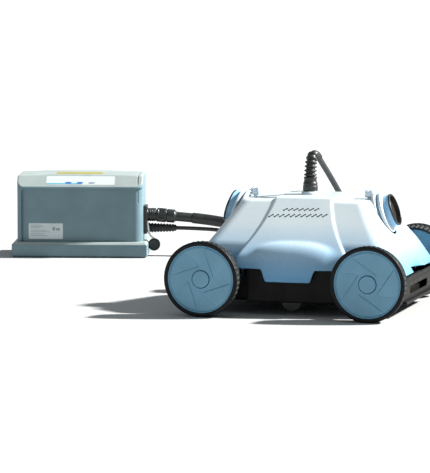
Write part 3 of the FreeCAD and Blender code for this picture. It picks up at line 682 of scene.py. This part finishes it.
def hood_body(x, y, z):
    """The hood as if it were solid and endless below.

    It is a cut pyramid with a raised wing across its middle, which bulges at both sides between the wheels."""
    x, y, z = np.abs(x), np.abs(y), SKIRT_Z + (z - SKIRT_Z) / STRETCH
    ends = smin(((x - 145) * 69 + (z - 113) * 40) / 79.8, ((x - 181) * 43 + (z - 70) * 36) / 56.1, 22)
    scoop = ellipsoid_field(x, y, z, (200, 0, 80), (34, 50, 34))
    ends = smax(ends, -scoop, 6)
    slope = ((y - 60) * 93.5 + (z - 183.5) * 90) / 129.8
    sides = smax(slope + 2.3, y - 127.6, 9)
    main = smax(smax(ends, sides, 17), z - 179.5 - 1.5 * step_up(70 - x, 0, 30), 4)
    wing_end = (x - np.interp(z, WING_Z, WING_X).astype(np.float32)) * 0.86
    wing = smax(smax(wing_end, smax(slope, y - 146.5, 9), 2.8), z - 184.6, 2.5)
    power = 2.6
    dome = (x / 96) ** power + (np.abs(y - 119) / 36) ** power + (np.abs(z - 62) / 57) ** power
    wing = smin(wing, 34 * (np.maximum(dome, 1e-6) ** (1 / power) - 1), 2.5)
    return smin(main, wing, 2.2)


def hood_field(x, y, z):
    """The moulded hood: a 3 mm wall, open below, with holes for the nozzles, the knobs and the cable."""
    body = hood_body(x, y, z)
    wall = np.abs(body + 1.5) - 1.5
    ax, ay = np.abs(x), np.abs(y)
    on_wing = (ay > 99) & (ax < 97)
    skirt = SKIRT_Z + 20.5 * step_up(np.abs(x - 4 * np.sign(y)), 36.5, 46.5)
    ends = 70 - 2.0 * step_up(-y, -10, 30) * (x > 0)
    wall = smax(wall, np.where(on_wing, skirt, ends) - z, 1.2)
    along, across = nozzle_axis(x, z)
    span = np.hypot(across, y)
    wall = smax(wall, -np.maximum(span - 38.8, -30 - along), 0.8)
    wall = np.maximum(wall, -(np.hypot(x - ENTRY_X, y) - 6.2))
    return np.maximum(wall, -np.maximum(np.hypot(ax - KNOB_X, y) - 3.4, 150 - z))


def make_hood():
    points, faces = skin(hood_field, (-200, -158, 54), (200, 158, 192), 1.6)
    piece("hood", points, faces, "shell_blue", "top_shell", crease=48)


# How far the print stands off the hood
PRINT_LIFT = 0.12


def on_side(x, up):
    """A point just off the near side face, up from its middle line."""
    upward, outward = np.array([0, 0.6935, 0.7205]), np.array([0, -0.7205, 0.6935])
    return np.array([x, -85.4, 160.4]) + upward * up + outward * PRINT_LIFT


def make_print():
    """Two rows of printed ripples on each side."""
    verts, faces = [], []
    for side in (1, -1):
        for low, high, up, lean, size, count in ((-31, 31, 13.4, 0.030, 3.1, 7), (-53.5, 47, 0.6, 0.034, 3.9, 11)):
            pitch = (high - low) / count
            for k in range(count):
                middle = low + pitch * (k + 0.5)
                t = np.linspace(-1, 1, 15)
                across = middle + t * pitch * 0.47
                rise = up + lean * across + size * 0.62 * np.sin(t * math.pi)
                across = across + 0.28 * size * np.sin(t * math.pi)
                thick = (0.95 + 0.1 * size) * (1 - 0.8 * t ** 4)
                base = len(verts)
                verts += [on_side(x, y + edge * w) * (side, side, 1) for x, y, w in zip(across, rise, thick)
                          for edge in (-1, 1)]
                faces += [[a, a + 2, a + 3, a + 1] for a in range(base, len(verts) - 2, 2)]
    points = settle(lambda x, y, z: hood_body(x, y, z) - PRINT_LIFT, np.array(verts), 1.5)
    piece("side_print", points, faces, "print_black", slot="shell_blue")


# ---- nozzles, knobs and the cable entry
def make_nozzles():
    outline = [(24.5, 0, 0.8), (27.5, 0, 1.0), (27.5, -3.2, 0.1), (26.9, -3.5, 0.1), (27.3, -13.0, 0.8),
               (34.0, -13.6, 1.2), (35.0, -14.6, 1.0), (35.0, -18.4, 1.2), (32.2, -19.2, 0.6), (33.4, -22.6, 0.8),
               (37.2, -23, 1.0), (38.0, -24, 0.8), (38.0, -28, 0.8), (27.5, -28.6, 0.8), (27.5, -60, 0.5),
               (24.5, -60, 0.5), (24.5, -12.2, 0.4), (20.5, -12, 0.3), (20.5, -9.7, 0.3), (24.5, -9.5, 0.4)]
    points, faces = turned(outline, 96)
    middle = points[faces].mean(axis=1)
    depth, span = middle[:, 2], np.hypot(middle[:, 0], middle[:, 1])
    picks = np.zeros(len(faces), int)
    picks[(depth < -12.9) & (depth > -19.4)] = 1
    # The groove between the flange and the step ring is painted darker, as painted shade in that recess.
    picks[(depth <= -19.0) & (depth > -22.7) & (span > 30)] = 2
    picks[(depth <= -22.7) & (span > 30)] = 1
    picks[(depth > -3.3) | (span < 24.8)] = 3
    finishes = ("nozzle_blue", "flange_white", "recess_painted_shade", "fitting_black")
    for end, word in ENDS:
        axis = (end * math.cos(NOZZLE_TILT), 0, math.sin(NOZZLE_TILT))
        spot = frame_of((end * MOUTH_X, 0, MOUTH_Z), axis)
        piece(f"{word}_outlet", placed(points, spot), faces, finishes, f"{word}_nozzle", "shell_blue", picks, 40)


def make_knobs():
    """Clear ribbed lock knobs."""
    def field(x, y, z):
        ribs = 0.55 * np.cos(x * 2.6) * step_up(z, 190, 192)
        body = box_field(x, y, z - 192.1, (6.5, 6.5, 6.3), 1.8) + 0.5 * step_up(ribs, 0.0, 0.5)
        groove = slab(x, y, z, (-1.1, -9, 195), (1.1, 9, 203), 0.4)
        stem = np.maximum(np.hypot(x, y) - 3, np.maximum(z - 190, 182.8 - z))
        return np.minimum(smax(body, -groove, 0.5), stem)

    points, faces = skin(field, (-8, -8, 181), (8, 8, 200), 0.55)
    for end, word in ENDS:
        piece(f"{word}_knob", points + (end * KNOB_X, 0, 0), faces, "knob_grey", f"{word}_lock_knob",
              body=f"{word}_lock_knob_body")


def fluted(points, rows, inner, gain):
    """Moves a turned shape's points beyond the inner radius in or out, by a gain for each angle.

    rows are four heights, between which the flutes start and end."""
    x, y, z = points.T
    grip = step_up(z, *rows[:2]) * (1 - step_up(z, *rows[2:])) * (np.hypot(x, y) > inner)
    grown = 1 + grip * gain(np.arctan2(y, x))
    return np.stack([x * grown, y * grown, z], axis=1)


def make_cable_entry():
    """The collar on the hood and the ribbed clamp nut over it."""
    entry = np.array([ENTRY_X, 0, 0])
    outline = [(6.2, 187.6), (15, 187.6, 0.5), (15, 191.2, 1.2), (13.6, 193.8, 1.0), (6.2, 194, 0.3)]
    points, faces = turned(outline, 72)
    piece("entry_collar", points + entry, faces, "shell_blue", "cable_collar")
    outline = [(4.4, 194.1, 0.2), (12.4, 194.1, 0.5), (12.6, 196, 0.4), (12.6, 202.5, 0.4), (11.9, 203.2, 0.3),
               (12.1, 207.2, 0.6), (10.6, 210.6, 0.6), (10.5, 215.0, 0.4), (11.2, 215.6, 0.3), (11.0, 217.8, 0.4),
               (4.4, 217.9, 0.3)]
    points, faces = turned(outline, 144)
    points = fluted(points, (195.4, 196.2, 201.8, 202.6), 11, lambda a: -0.0225 * (1 + np.cos(a * 24)))
    piece("clamp_nut", points + entry, faces, "fitting_black", "gland_nut")


def make_boot():
    """The bend boot: loose rings low down that close up into a plain sleeve on the bend."""
    line, length = line_of(BOOT_ROUTE, 0.45)
    run = np.linspace(0, length, len(line))
    fade = 1 - step_up(run, 34, 46)
    radius = 7.8 - 1.3 * run / length
    rib = step_up(np.cos(2 * math.pi * (run - 3.4) / 6.7), -0.7, 0.8)
    radius = radius + fade * rib * (3.1 - 1.1 * run / length)
    points, faces = swept(line, radius, 36)
    piece("cable_boot", points, faces, "rubber_black", "bend_boot", crease=50)


# ---- wheels
def wheel_relief(u, v):
    """Height of the disc face over its base, for four swept panels."""
    total = np.zeros_like(u)
    span = np.hypot(u, v)
    inside = step_up(span, 17.0, 20.0) * (1 - step_up(span, 50.5, 52.5))
    for k in range(4):
        c, s = math.cos(k * math.pi / 2), math.sin(k * math.pi / 2)
        p, q = c * u + s * v - 15.6, -s * u + c * v - 15.6
        step = 0.559 * p + 0.829 * q
        along = -0.829 * p + 0.559 * q
        bow = p - 3.2 * np.sin(np.clip(q / 36, 0, 1) * math.pi)
        in_wedge = (step > 0) & (bow < 0) & (q > -2)
        fall = np.clip(-bow / np.maximum(step - bow, 1e-3), 0, 1)
        total = np.where(in_wedge, 1.0 * fall, total)
        groove = np.exp(-(step / 0.75) ** 2) * step_up(along, -3, 3)
        total -= 0.85 * groove * (np.abs(step) < 4)
        crease = np.exp(-(bow / 0.7) ** 2) * step_up(q, 0, 6) * (np.abs(bow) < 4)
        total -= 0.35 * crease
    return total * inside


# How far the disc's lip round its hub and the step round its rim stand over its face, by radius
DISC_EDGES = [(14.1, -2.5), (14.6, -1.6), (15.4, 0.6), (16.4, 0), (52.3, 0), (52.4, -0.6), (53.2, -0.9), (53.9, -0.2),
              (54.4, 0.9), (55.2, 1.0), (55.8, 0.5)]
# The disc's rim and back, as (radius, height)
DISC_BACK = [(55.95, 34), (55.95, 3.0), (55.4, 2.2), (53.4, 2.0), (53.0, 2.6), (52.6, 6.0), (51.5, 7.0), (17.5, 7.0),
             (16.5, 6.2), (16.2, 2.2), (15.2, 1.6), (8.2, 1.6), (7.6, 2.2), (7.6, 12)]
# A rib's section on the back, as (half its width, height)
RIB = [(-1.5, 7.2), (-1.0, 3.4), (-0.6, 2.8), (0.6, 2.8), (1.0, 3.4), (1.5, 7.2)]
AXLE_X, AXLE_Z = 140, 62.5


def make_wheel(word, end, side, phase):
    """A dished disc with swept panels outside and a ribbed back, and a lugged tyre."""
    steps = 288
    rim = [52.4, 53.2, 53.9, 54.4, 55.2, 55.8]
    radii = np.concatenate([[14.1, 14.3, 14.8, 15.3], np.linspace(16.0, 51.5, 64), rim])
    angles = round_angles(steps)
    u = np.outer(radii, np.cos(angles))
    v = np.outer(radii, np.sin(angles))
    c, s = math.cos(phase), math.sin(phase)
    w = 35.0 + 1.0 * ((radii - 17) / 35).clip(0, 1)[:, None] ** 1.5 + wheel_relief(c * u + s * v, c * v - s * u)
    w += np.interp(radii, *zip(*DISC_EDGES))[:, None]
    rings = [ring(14.1, 31.0, angles)] + [np.stack(row, axis=1) for row in zip(u, v, w)]
    rings += [ring(r, h, angles) for r, h in DISC_BACK]
    verts, faces = np.concatenate(rings), quads_over(len(rings), steps, closed=False)
    ribs = []
    for k in range(6):
        turn = math.radians(60 * k) + phase
        along = np.array([math.cos(turn), math.sin(turn)])
        across = np.array([-along[1], along[0]])
        rib = [(*(along * r + across * half), h) for r in np.linspace(16.5, 52.5, 9) for half, h in RIB]
        ribs.append((rib, [[i, i + 1, i + 7, i + 6] for n in range(8) for i in range(n * 6, n * 6 + 5)]))
    verts, faces, _ = merged((verts, faces), *ribs)
    axes = np.array([(-side, 0, 0), (0, 0, side), (0, 1, 0)], float)
    spot = (axes, np.array([end * AXLE_X, side * 157.0, AXLE_Z]))
    body = f"{word}_wheel_body"
    disc = piece(f"{word}_disc", placed(verts, spot), faces, "wheel_blue", f"{word}_wheel", crease=50, body=body)
    fix_normals(disc)
    make_tyre(word, body, spot)


def fix_normals(item):
    """Turns every face of a closed mesh outwards."""
    mesh = bmesh.new()
    mesh.from_mesh(item.data)
    bmesh.ops.recalc_face_normals(mesh, faces=mesh.faces)
    mesh.to_mesh(item.data)
    mesh.free()


def make_tyre(word, body, spot):
    """A tyre with smooth shoulders and two rows of slanted lugs."""
    lugs = 46
    steps = lugs * 10
    angles = round_angles(steps)
    heights = np.concatenate([np.linspace(0.4, 3.4, 5), np.linspace(4.0, 34.0, 31), np.linspace(34.6, 37.6, 5)])
    shoulder = np.interp(heights, [0, 0.7, 1.9, 36.1, 37.3, 38], [-1.7, -0.5, 0, 0, -0.5, -1.7])
    middle = 19
    off = np.abs(heights - middle)
    phase = angles[:, None] * lugs + (1.9 * off / 9 + math.pi * (heights > middle))[None, :]
    lug = step_up(np.cos(phase), -0.15, 0.35)
    row = step_up(off, 0.8, 1.8) * (1 - step_up(off, 14.4, 15.2))
    band = step_up(off, 15.2, 16.2)
    taper = 5.0 * ((22 - heights) / 22).clip(0, 1) ** 1.2
    radius = 60.6 - taper + shoulder + 1.8 * np.maximum(lug * row[None, :], band[None, :])
    tread = np.stack([radius * np.cos(angles)[:, None], radius * np.sin(angles)[:, None],
                      np.tile(heights, (steps, 1))], axis=2)
    side_out = [(58.8, 38.1), (57.0, 38.0), (55.8, 37.6), (55.4, 36.8), (56.1, 35.4)]
    side_in = [(54.4, 2.0), (54.6, 0.8), (55.0, 0.2), (55.4, 0.0)]
    grid = np.concatenate([tread] + [ring(r, h, angles)[:, None] for r, h in side_out + side_in], axis=1)
    faces = quads_over(steps, grid.shape[1])
    points = grid.reshape(-1, 3)
    height = points[faces][:, :, 2].mean(axis=1)
    picks = ((height > 34.9) | (height < 2.2)).astype(int)
    fix_normals(piece(f"{word}_tread", placed(points, spot), faces, ("tyre_black", "tyre_side"), f"{word}_tyre",
                      picks=picks, crease=40, body=body))


def make_wheels():
    for (end, end_word), turn in zip(ENDS, (0, 53)):
        for side, side_word, more in ((-1, "near", 0), (1, "far", 21)):
            make_wheel(f"{end_word}_{side_word}", end, side, math.radians(turn + more))


# ---- chassis
def chassis_field(x, y, z):
    """The tray: bumpers with a long slot, raised sides, axle bosses and screw posts."""
    ax, ay = np.abs(x), np.abs(y)
    outer = box_field(ax, ay, z - 44, (183, 128, 22), 9)
    sides = box_field(ax, ay, z - 56, (76, 142.8, 34), 3)
    ridges = 0.9 * (np.exp(-((z - 61.5) / 1.1) ** 2) + np.exp(-((z - 54.5) / 1.1) ** 2)) * (ax > 168)
    body = smin(outer - ridges, sides, 2)
    room = box_field(ax, ay, z - 66, (180, 125, 41), 7)
    side_room = box_field(ax, ay, z - 70, (73, 141, 45), 2)
    body = smax(body, -np.minimum(room, side_room), 0.8)
    window = slab(ax, ay, z, (-80, -133, 66), (80, 133, 95))
    body = np.maximum(body, -window)
    lip = slab(ax, ay, z, (170, -1, 22.2), (190, 119.5, 27.6), 1.8)
    body = smin(body, lip, 2.0)
    slot = smax(slab(x, y, z, (-200, -66, 34), (200, 66, 46.5), 5), -(ax - 171), 1.0)
    body = smax(body, -slot, 1.4)
    backing = slab(ax, ay, z, (166, -1, 24), (170.5, 74, 58), 1)
    body = np.minimum(body, backing)
    from_axle, from_post = np.hypot(ax - AXLE_X, z - AXLE_Z), np.hypot(ax - 160, ay - 75)
    boss = np.maximum(from_axle - 11, np.maximum(126 - ay, ay - 156.6))
    post = np.maximum(from_post - 6, np.maximum(23 - z, z - 59.8))
    body = np.minimum(np.minimum(body, boss), post)
    opening = slab(ax, ay, z, (-112, -84, 10), (112, 84, 30))
    axle = np.maximum(from_axle - 6.3, 100 - ay)
    screw = np.maximum(from_post - 4.4, z - 28)
    return np.maximum(body, -np.minimum(np.minimum(opening, axle), screw))


def make_chassis():
    points, faces = skin(chassis_field, (-194, -160, 18), (194, 160, 94), 1.7)
    piece("tray", points, faces, "base_black", "base_chassis", crease=48)


# ---- supply box
# The lower edge of the supply cover's brow, which rises from there at 45 degrees
BROW_Y, BROW_Z, DIAGONAL = -57.5, 132, 0.7071
# Half the cover's length, and half the length and width of the tray under it
COVER_X, TRAY_X, TRAY_Y = 118.5, 127.8, 67.5


def plan_field(x, y, half_x, half_y, radius):
    """Distance to an upright block with rounded corners, seen from above."""
    ax, ay = np.abs(x) - half_x + radius, np.abs(y) - half_y + radius
    return np.hypot(np.maximum(ax, 0), np.maximum(ay, 0)) + np.minimum(np.maximum(ax, ay), 0) - radius


def roof_height(x):
    """The supply cover's cambered top."""
    return 155.2 - 2.5 * (x / COVER_X) ** 2


def cover_field(x, y, z):
    """The cover of the supply box: rounded, with a sloping brow over a sunk front panel."""
    wall = plan_field(x, y, COVER_X, 57.5, 12)
    body = smax(np.maximum(wall, 2 - z), z - roof_height(x), 4)
    brow = ((BROW_Y - y) + (z - BROW_Z)) * DIAGONAL
    body = smax(body, brow, 2)
    sunk = plan_field(x, y, COVER_X, 52.5, 16)
    panel = smax(smax(z - 130.2, -110 - x, 8), np.maximum(y, -sunk), 0.8)
    body = smax(body, -panel, 0.9)
    groove = np.maximum(np.abs(x - 109.5) - 0.7, np.abs(body) - 1.6)
    body = smax(body, -np.maximum(groove, np.maximum(102 - z, 6 - np.abs(z - 131))), 0.6)
    hollow = smax(box_field(x, y, z - 78, (112, 48, 73), 7), brow + 3, 3)
    body = smax(np.maximum(body, 27.5 - z), -hollow, 0.5)
    socket = np.maximum(np.hypot(y - SIDE_Y, z - SOCKET_Z) - 8.2, 100 - x)
    lead = np.maximum(np.hypot(y - SIDE_Y, z - MAINS_Z) - 3.9, 100 - x)
    return np.maximum(body, -np.minimum(socket, lead))


def base_field(x, y, z):
    """The tray the cover stands on, with a bevelled rim and a foot set in."""
    body = box_field(x, y, z - 15.5, (TRAY_X, TRAY_Y, 13.5), 2)
    bevel = (np.maximum(np.abs(x) - TRAY_X, np.abs(y) - TRAY_Y) + z - 24.5) * DIAGONAL
    body = smax(body, bevel, 0.6)
    body = np.minimum(body, box_field(x, y, z - 2.5, (125, 65, 2.5), 0.8))
    hollow = slab(x, y, z, (-120, -62, 3), (120, 62, 22.4))
    deck = slab(x, y, z, (-111, -47, 20), (111, 47, 34))
    return np.maximum(body, -np.minimum(hollow, deck))


def rounded_patch(x0, u0, x1, u1, corner, step=15):
    """The outline of a rectangle with rounded corners, a point for each step of degrees."""
    edge = []
    for cx, cu, start in ((x1 - corner, u1 - corner, 0), (x0 + corner, u1 - corner, 90),
                          (x0 + corner, u0 + corner, 180), (x1 - corner, u0 + corner, 270)):
        for t in range(0, 91, step):
            a = math.radians(start + t)
            edge.append((cx + corner * math.cos(a), cu + corner * math.sin(a)))
    return edge


def painted_lit_faces(points, faces):
    """Picks the upward faces of the supply box, which get a lighter copy of the grey as painted light."""
    corners = np.asarray(points)[np.asarray(faces)]
    across = np.cross(corners[:, 2] - corners[:, 0], corners[:, 3] - corners[:, 1])
    return (across[:, 2] > 0.6 * np.linalg.norm(across, axis=1)).astype(int)


def make_supply():
    for name, field, low, high, node in (
            ("supply_cover_shell", cover_field, (-123, -62, 22), (123, 62, 161), "supply_cover"),
            ("supply_tray", base_field, (-132, -72, -3), (132, 72, 33), "supply_base")):
        points, faces = skin(field, low, high, 1.5)
        # Upward faces get the lighter copy of the grey, as painted light.
        piece(name, placed(points, SUPPLY_FRAME), faces, ("supply_grey", "supply_painted_lit"), node,
              picks=painted_lit_faces(points, faces), crease=50)
    make_labels()
    make_sockets()


def make_labels():
    """Blank stickers with plain coloured marks, and a rating plate with plain lines."""
    shapes = []
    finishes = ["label_white", "label_grey", "mark_cyan", "mark_blue", "mark_grey", "mark_yellow", "print_black"]

    def add(edge, place, finish):
        """A sticker whose back lies a little inside the surface."""
        top = [place(a, b, 0.0) for a, b in edge]
        low = [place(a, b, -0.7) for a, b in edge]
        n = len(edge)
        quads = [list(range(n))] + [[k, k + n, (k + 1) % n + n, (k + 1) % n] for k in range(n)]
        shapes.append((top + low, quads, finishes.index(finish)))

    def brow(lift):
        def place(x, u, drop):
            """u climbs the brow from its lower edge."""
            out = lift + drop
            return np.array([x, BROW_Y + DIAGONAL * (u - out), BROW_Z + DIAGONAL * (u + out)])
        return place

    def front(lift):
        return lambda x, z, drop: np.array([x, -52.5 - lift - drop, z])

    def roof(lift):
        return lambda x, y, drop: np.array([x, y, roof_height(x) + lift + drop])

    add(rounded_patch(-63.5, 6.5, 65.5, 27.5, 2), brow(0.25), "label_white")
    add(rounded_patch(-62.5, 7.7, 4, 10.1, 0.6), brow(0.45), "mark_cyan")
    for x, finish in ((-21.5, "mark_blue"), (0.4, "mark_blue"), (22.6, "mark_grey")):
        add([(x + 6.2 * math.cos(a), 11.1 + 2.1 * math.sin(a)) for a in round_angles(20)], brow(0.55), finish)
    add(rounded_patch(-96.6, 34, -32, 63.5, 1.2), front(0.25), "label_grey")
    for right, z in ((-73.6, 59.5), (-67.6, 57), (-76.6, 54.5), (-63.6, 50), (-55.6, 47), (-66.6, 43.5), (-61.6, 40)):
        add(rounded_patch(-92.6, z, right, z + 0.9, 0.2), front(0.42), "mark_grey")
    add(rounded_patch(-51.6, 50, -46.6, 56.5, 0.6), front(0.42), "mark_grey")
    add(rounded_patch(-44.6, 50, -37.6, 54.5, 0.6), front(0.42), "mark_grey")
    # Narrow strips, so that the yellow one follows the cambered roof
    edges = np.linspace(-46, 41, 13)
    for left, right in zip(edges, edges[1:]):
        add([(right, 8.5), (left, 8.5), (left, -30), (right, -30)], roof(0.3), "mark_yellow")
    verts, faces, counts = merged(*[(v, f) for v, f, _ in shapes])
    picks = np.concatenate([[pick] * count for count, (_, _, pick) in zip(counts, shapes)])
    piece("stickers", placed(verts, SUPPLY_FRAME), faces, finishes, "supply_labels", picks=picks)


def out_of_side(x, y, z, droop=0.0):
    """A frame in the supply box whose local Z runs out of its side, leaning down by a droop."""
    turn, origin = frame_of((x, y, z), (math.cos(droop), 0, -math.sin(droop)))
    return SUPPLY_FRAME[0] @ turn, SUPPLY_FRAME[0] @ origin + SUPPLY_FRAME[1]


def make_sockets():
    """The socket, the connector in it, the mains lead's relief and the hanging cap, on the box's side."""
    def flange_field(x, y, z):
        plate = slab(x, y, z, (118.55, -30, 42), (125.5, 6, 95), 1.4)
        from_axis = np.hypot(y - SIDE_Y, z - SOCKET_Z)
        barrel = np.maximum(from_axis - 12.3, np.maximum(117 - x, x - 141.3))
        core = np.maximum(from_axis - 8, np.maximum(112.5 - x, x - 121))
        rings = 0.6 * step_up(np.cos((x - 127) * 1.6), 0.2, 0.8) * (x > 127) * (x < 140)
        seat = np.hypot(np.abs(y - SIDE_Y) - 13.5, np.abs(z - 68.5) - 22) - 1.5
        plate = smax(plate, -np.maximum(seat, 124.3 - x), 0.3)
        return np.minimum(smin(plate, barrel - rings, 1.2), core)

    points, faces = skin(flange_field, (110, -33, 39), (144, 9, 98), 0.8)
    piece("socket", placed(points, SUPPLY_FRAME), faces, "fitting_black", "output_socket", crease=50)

    long = 54
    run = np.linspace(0, long, 180)
    radius = 8.2 - 2.2 * run / long
    radius += (1.6 - 0.4 * run / long) * step_up(np.cos(2 * math.pi * (run - 3) / 5.6), -0.5, 0.6) * (run < 51)
    points, faces = swept(np.stack([0 * run, 0 * run, run], axis=1), radius, 36)
    side = out_of_side(125.6, SIDE_Y, MAINS_Z)
    piece("mains_relief", placed(points, side), faces, "rubber_black", "mains_gland", crease=50)

    foot = out_of_side(FOOT_X, SIDE_Y, SOCKET_Z, DROOP)
    points, faces = turned([(0.01, 0.1), (10.9, 0.1, 0.6), (10.9, 20.4, 0.4), (12.6, 20.6, 0.8), (12.6, 35, 1.6),
                            (9.6, 37, 0.6), (9.0, 40, 0.4), (9.0, 66.9, 0.6), (0.01, 66.9)], 64)
    piece("plug_tail", placed(points, foot), faces, "fitting_black", "connector_body")
    points, faces = turned([(11.1, 1.6), (13.0, 1.6, 0.8), (13.4, 4, 0.3), (12.8, 5, 0.3), (12.8, 16, 0.3),
                            (13.4, 17, 0.3), (13.0, 19.4, 0.8), (11.1, 19.4)], 120)
    points = fluted(points, (4.6, 5.4, 15.6, 16.4), 12, lambda a: 0.045 * np.cos(a * 20))
    piece("lock_ring", placed(points, foot), faces, "fitting_black", "connector_ring", body="connector_ring_body")

    cap, faces = turned([(0.01, 0), (11, 0, 1.5), (11.6, 2, 0.5), (11.6, 11, 1.2), (9.4, 11.9, 0.6), (9.0, 10.4, 0.4),
                         (0.01, 10.4)], 64)
    cap = placed(cap, frame_of((138, SIDE_Y, 20.8), (0, -1, 0)))
    line = np.array([(125.9, -25.5, 64), (127.3, -27, 54), (128.5, -27, 44), (132, -23, 37), (137.5, -18, 32.4)])
    strap = np.stack([np.interp(np.linspace(0, 4, 21), range(5), values) for values in line.T], axis=1)
    verts, faces, counts = merged((cap, faces), swept(strap, 1.9, 12))
    picks = [0] * counts[0] + [1] * counts[1]
    piece("hanging_cap", placed(verts, SUPPLY_FRAME), faces, ("rubber_black", "strap_grey"), "socket_cap",
          "fitting_black", picks)

    line, length = line_of(CONNECTOR_BEND, 1.0)
    run = np.linspace(0, length, len(line))
    radius = 10.2 - 4.4 * step_up(run, length - 40, length) - 1.0 * (run < 3)
    points, faces = swept(line, radius, 32)
    piece("cable_sleeve", points, faces, "rubber_black", "connector_boot", crease=50)


# ---- coil ties
def make_ties():
    """Flat straps round each coil."""
    # A strap's section, as (how far out, how far along the coil)
    section = [(0.15, -4.6), (1.1, -4.2), (1.1, 4.2), (0.15, 4.6)]
    parts = []
    for coil, radius, half, tall, angle in ((CABLE_COIL, 90, 20.2, 41, 40), (CABLE_COIL, 90, 20.2, 41, 140),
                                            (MAINS_COIL, 40.5, 7.8, 23, 100)):
        loop = np.array(rounded_patch(-half, 0, half, tall, 3.0, 18))
        verts = []
        for spot in loop:
            out = spot - (0, tall / 2)
            out = out / np.linalg.norm(out)
            for grow, y in section:
                x, z = spot + out * grow
                verts.append((radius + x, y, 1.2 + z))
        parts.append((placed(verts, level_frame(*coil, angle)), quads_over(len(loop), len(section))))
    verts, faces, _ = merged(*parts)
    fix_normals(piece("straps", verts, faces, "tie_black", "coil_ties"))


# ---- filter bag
def make_bag():
    """The filter bag: a slack box of mesh cloth, open below, hemmed on its frame, with a hole for the motor."""
    def field(x, y, z):
        sag = 1.6 * np.sin(x / 17) * np.cos(y / 14) + 0.9 * np.sin((x + 2 * y) / 9)
        outer = box_field(x, y, z - 46, (105, 79, 27.5), 8) + 0.25 * sag * step_up(z, 36, 50)
        sheet = np.maximum(np.abs(outer + 0.9) - 0.7, 31 - z)
        hem = box_field(x, y, z - 32, (106, 80, 1.9), 1.2)
        hem = np.maximum(hem, -box_field(x, y, z - 32, (103, 77, 5), 1))
        motor = np.hypot(x, y) - 37.5
        return np.maximum(smin(sheet, hem, 1.0), -motor)

    points, faces = skin(field, (-109, -83, 28), (109, 83, 77), 1.9)
    bag = piece("filter_sock", points, faces, "filter_cloth", "filter_bag")


# ---- nodes that keep their shape
# Each finish's nodes, with the width in mm that their edges are rounded by
CARRIED = {
    "flap_amber": {"front_jet_flap": 0.4, "rear_jet_flap": 0.4, "diverter_flap": 0.4},
    "base_black": {"filter_lid": 0.8, "front_intake_flap": 0.4, "rear_intake_flap": 0.4},
    "fitting_black": {"near_lid_latch": 0.6, "far_lid_latch": 0.6},
    "inner_grey": {"filter_frame": 0.8, "motor_housing": 0.8, "motor_cap": 0.6, "impeller": 0.3, "jet_duct": 0.8},
    "steel": {"axles": 0.6, "motor_shaft": 0.3, "shell_screws": 0.3},
    "iron_core": {"motor_rotor": 0.6, "supply_transformer": 1.2},
    "board_green": {"control_board": 0.3, "supply_board": 0.4},
    "wheel_blue": {"axle_caps": 0.8},
    "bearing_steel": {"shaft_bearings": 0.2},
    "rubber_black": {"shaft_seal": 0.3},
    "float_foam": {"float_blocks": 1.5},
    "lead_black": {"motor_lead": 0.0},
    "pin_brass": {"plug_pins": 0.4},
}


def dress_carried():
    for finish, nodes in CARRIED.items():
        for node, width in nodes.items():
            item = NODES[node]
            item.data.materials.clear()
            item.data.materials.append(FINISHES[finish])
            if width:
                round_edges(item, width)
            item.data.shade_smooth()
            item.data.set_sharp_from_angle(angle=math.radians(35))


# ---- floor and light
def make_studio():
    floor = bpy.data.meshes.new("floor")
    floor.from_pydata([(-40, -40, 0), (40, -40, 0), (40, 60, 0), (-40, 60, 0)], [], [(0, 1, 2, 3)])
    paper = Finish("paper", 0.9)
    paper.colour(paper.ramp(paper.noise(2), [(0.3, (0.36, 0.36, 0.36, 1)), (0.7, (0.37, 0.37, 0.37, 1))]))
    floor.materials.append(paper.material)
    add_object("floor", floor)

    data = bpy.data.lights.new("key", "SUN")
    data.energy = 13.5
    data.angle = math.radians(3.5)
    data.color = (1.0, 0.985, 0.96)
    towards_sun = Vector((0.765, 0.28, 0.60))
    add_object("key", data).rotation_euler = towards_sun.to_track_quat("Z", "Y").to_euler()

    world = bpy.data.worlds.new("studio")
    bpy.context.scene.world = world
    world.use_nodes = True
    sky = world.node_tree.nodes["Background"]
    sky.inputs["Color"].default_value = (0.86, 0.95, 1.0, 1)
    sky.inputs["Strength"].default_value = 0.47
    view = bpy.context.scene.view_settings
    view.view_transform = "Standard"
    view.look = "None"


make_materials()
make_camera()
make_cords()
make_boot()
make_hood()
make_print()
make_nozzles()
make_knobs()
make_cable_entry()
make_wheels()
make_chassis()
make_supply()
make_ties()
make_bag()
dress_carried()
make_studio()
